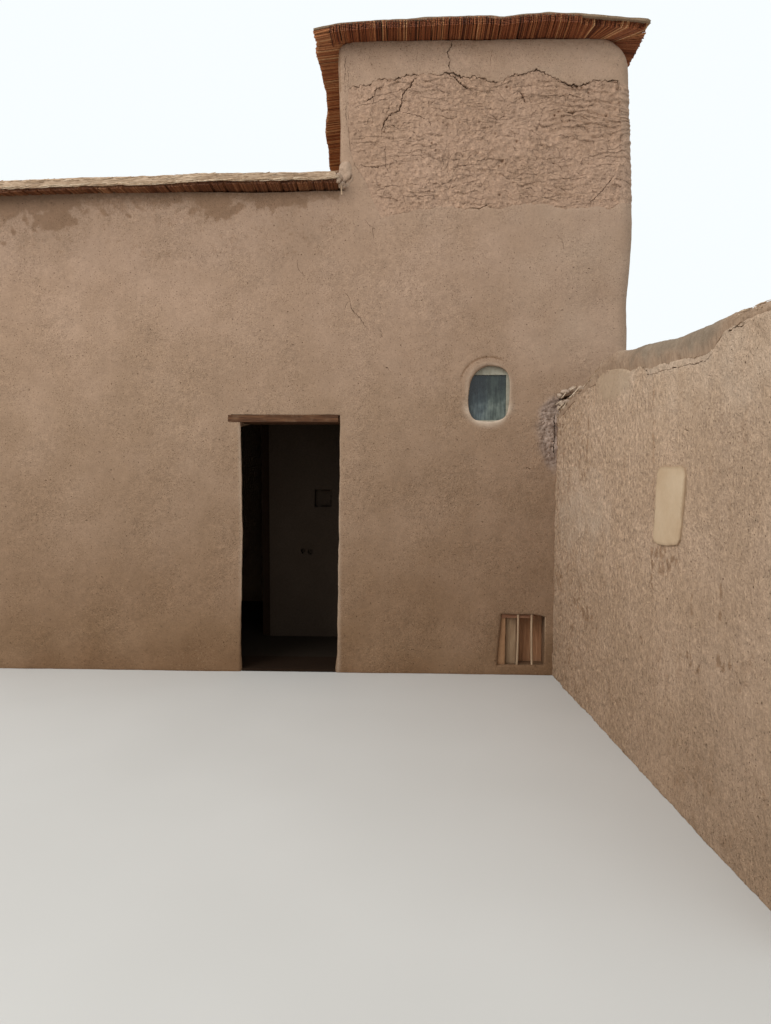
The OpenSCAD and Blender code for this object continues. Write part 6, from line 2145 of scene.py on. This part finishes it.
def screen():
    """The wall seen through the doorway, with two small sockets and a shallow box recess."""
    lo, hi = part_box("screen_wall")
    x0, x1, y0, y1 = lo.x - OX, hi.x - OX, lo.y - OY, hi.y - OY

    def ring(cx, cz, r):
        a = np.arange(14) * 2 * math.pi / 14
        return np.column_stack([cx + r * np.cos(a), cz + r * (1.1 + 0.15 * np.sin(3 * a)) * np.sin(a)])

    # the sockets and the box recess have dark sides, as painted shade inside them
    holes = [dict(P=ring(-0.432, 0.812, 0.021), R=np.full(14, 0.003), kind="blind", depth=0.06, strip=0.02, h=0.02, dark=0.8),
             dict(P=ring(-0.366, 0.803, 0.024), R=np.full(14, 0.003), kind="blind", depth=0.06, strip=0.02, h=0.02, dark=0.8)]
    P, R = subdivide([(-0.325, 1.217), (-0.168, 1.219), (-0.166, 1.374), (-0.322, 1.376)], [0.003] * 4, 0.03)
    holes.append(dict(P=P, R=R, kind="blind", depth=0.075, strip=0.02, h=0.03, dark=0.5))
    slab("screen_wall_render", subdivide([(x0, lo.z), (x1, lo.z), (x1, hi.z), (x0, hi.z)], [0.0] * 4, 0.04), holes, y1 - y0, 0.035,
         ((0, y0, 0), (1, 0, 0), (0, 1, 0)), INNER, lambda P3, s, z, d: 0.4 * swell(P3) * ((z > lo.z + 0.05) & (z < hi.z - 0.05)), back_step=0.2, strip=0.1,
         seed=41, slot="mud_render", replaces=("screen_wall",), back_relief=0.3)


screen()

# two sticks set upright in the low recess, a board behind them, and a lath at its right
tubes("recess_bars", [(1.379, 0.012, 0.478), (1.482, 0.013, 0.476), (1.585, 0.006, 0.452)], [(1.374, 0.016, 0.058), (1.490, 0.015, 0.050), (1.587, 0.007, 0.056)],
      [0.0086, 0.0085, 0.0045], [0.5, 0.5, 0.5], BAR, sides=10, cuts=(0.0, 0.01, 0.15, 0.3, 0.45, 0.6, 0.75, 0.9, 0.99, 1.0),
      bend=[(0.003, 0.001, 0), (-0.002, 0.001, 0), (0.0012, 0, 0)], slot="timber")
BP, BR = subdivide([(1.290, 0.066), (1.371, 0.066), (1.372, 0.444), (1.297, 0.444)], [0.002] * 4, 0.02)
slab("recess_board", (BP, BR), [], 0.014, 0.02, ((0, 0.062, 0), (1, 0, 0), (0, 1, 0)), BOARD, lambda P3, s, z, d: 0.0008 * noise(P3 * np.array([1.0, 1.0, 0.1]), 60.0, 240),
     seed=43, back_step=0.05, strip=0.01, slot="timber", back_relief=0.0)
# mud packed into the recess at its left
IP, IR = subdivide([(1.212, 0.058), (1.284, 0.058), (1.286, 0.470), (1.246, 0.470)], [0.003] * 4, 0.012)
slab("recess_infill", (IP, IR), [], 0.13, 0.014, ((0, 0.022, 0), (1, 0, 0), (0, 1, 0)), INFILL, lambda P3, s, z, d: 0.0022 * noise(P3, 22.0, 245) + 0.0012 * noise(P3, 60.0, 246),
     seed=45, back_step=0.05, strip=0.02, slot="mud_render", back_relief=0.0)


# ------------------------------------------------------------------ floor, light
def floor():
    M = Mat("studio_floor", rough=0.9, spec=0.1)
    n = M.noise(M.pos(), 0.8, 2, 0.5)
    c = M.ramp(n, [(0.3, (0.55, 0.53, 0.50)), (0.7, (0.58, 0.56, 0.53))])
    M.finish(c)
    me = bpy.data.meshes.new("studio_floor")
    r = 40.0
    me.from_pydata([(-r, -r, -0.001), (r, -r, -0.001), (r, r, -0.001), (-r, r, -0.001)], [], [(0, 1, 2, 3)])
    me.materials.append(M.mat)
    ob = bpy.data.objects.new("studio_floor", me)
    bpy.context.scene.collection.objects.link(ob)
    ob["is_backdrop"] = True


floor()
world = bpy.data.worlds.new("sky")
bpy.context.scene.world = world
world.use_nodes = True
bg = world.node_tree.nodes["Background"]
bg.inputs[0].default_value = (0.925, 0.97, 0.99, 1.0)
bg.inputs[1].default_value = 1.02


def area(name, loc, target, size, power, color=(1, 1, 1)):
    L = bpy.data.lights.new(name, "AREA")
    L.shape = "RECTANGLE"
    L.size, L.size_y = size
    L.energy = power
    L.color = color
    o = bpy.data.objects.new(name, L)
    o.location = loc
    d = Vector(target) - Vector(loc)
    o.rotation_euler = d.to_track_quat("-Z", "Y").to_euler()
    bpy.context.scene.collection.objects.link(o)
    return o


area("soft_left", (-7.0, -8.0, 8.5), (0.8, 0.0, 2.2), (7, 7), 790, (1.0, 0.985, 0.96))
bpy.context.scene.view_settings.view_transform = "Standard"
bpy.context.scene.view_settings.look = "None"

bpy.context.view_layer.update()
tris = {}
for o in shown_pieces():
    tris[o.name] = sum(len(p.vertices) - 2 for p in o.data.polygons)
own = {k: v for k, v in tris.items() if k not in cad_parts}
print("TRIANGLES own", sum(own.values()), "largest", sorted(own.items(), key=lambda t: -t[1])[:8])
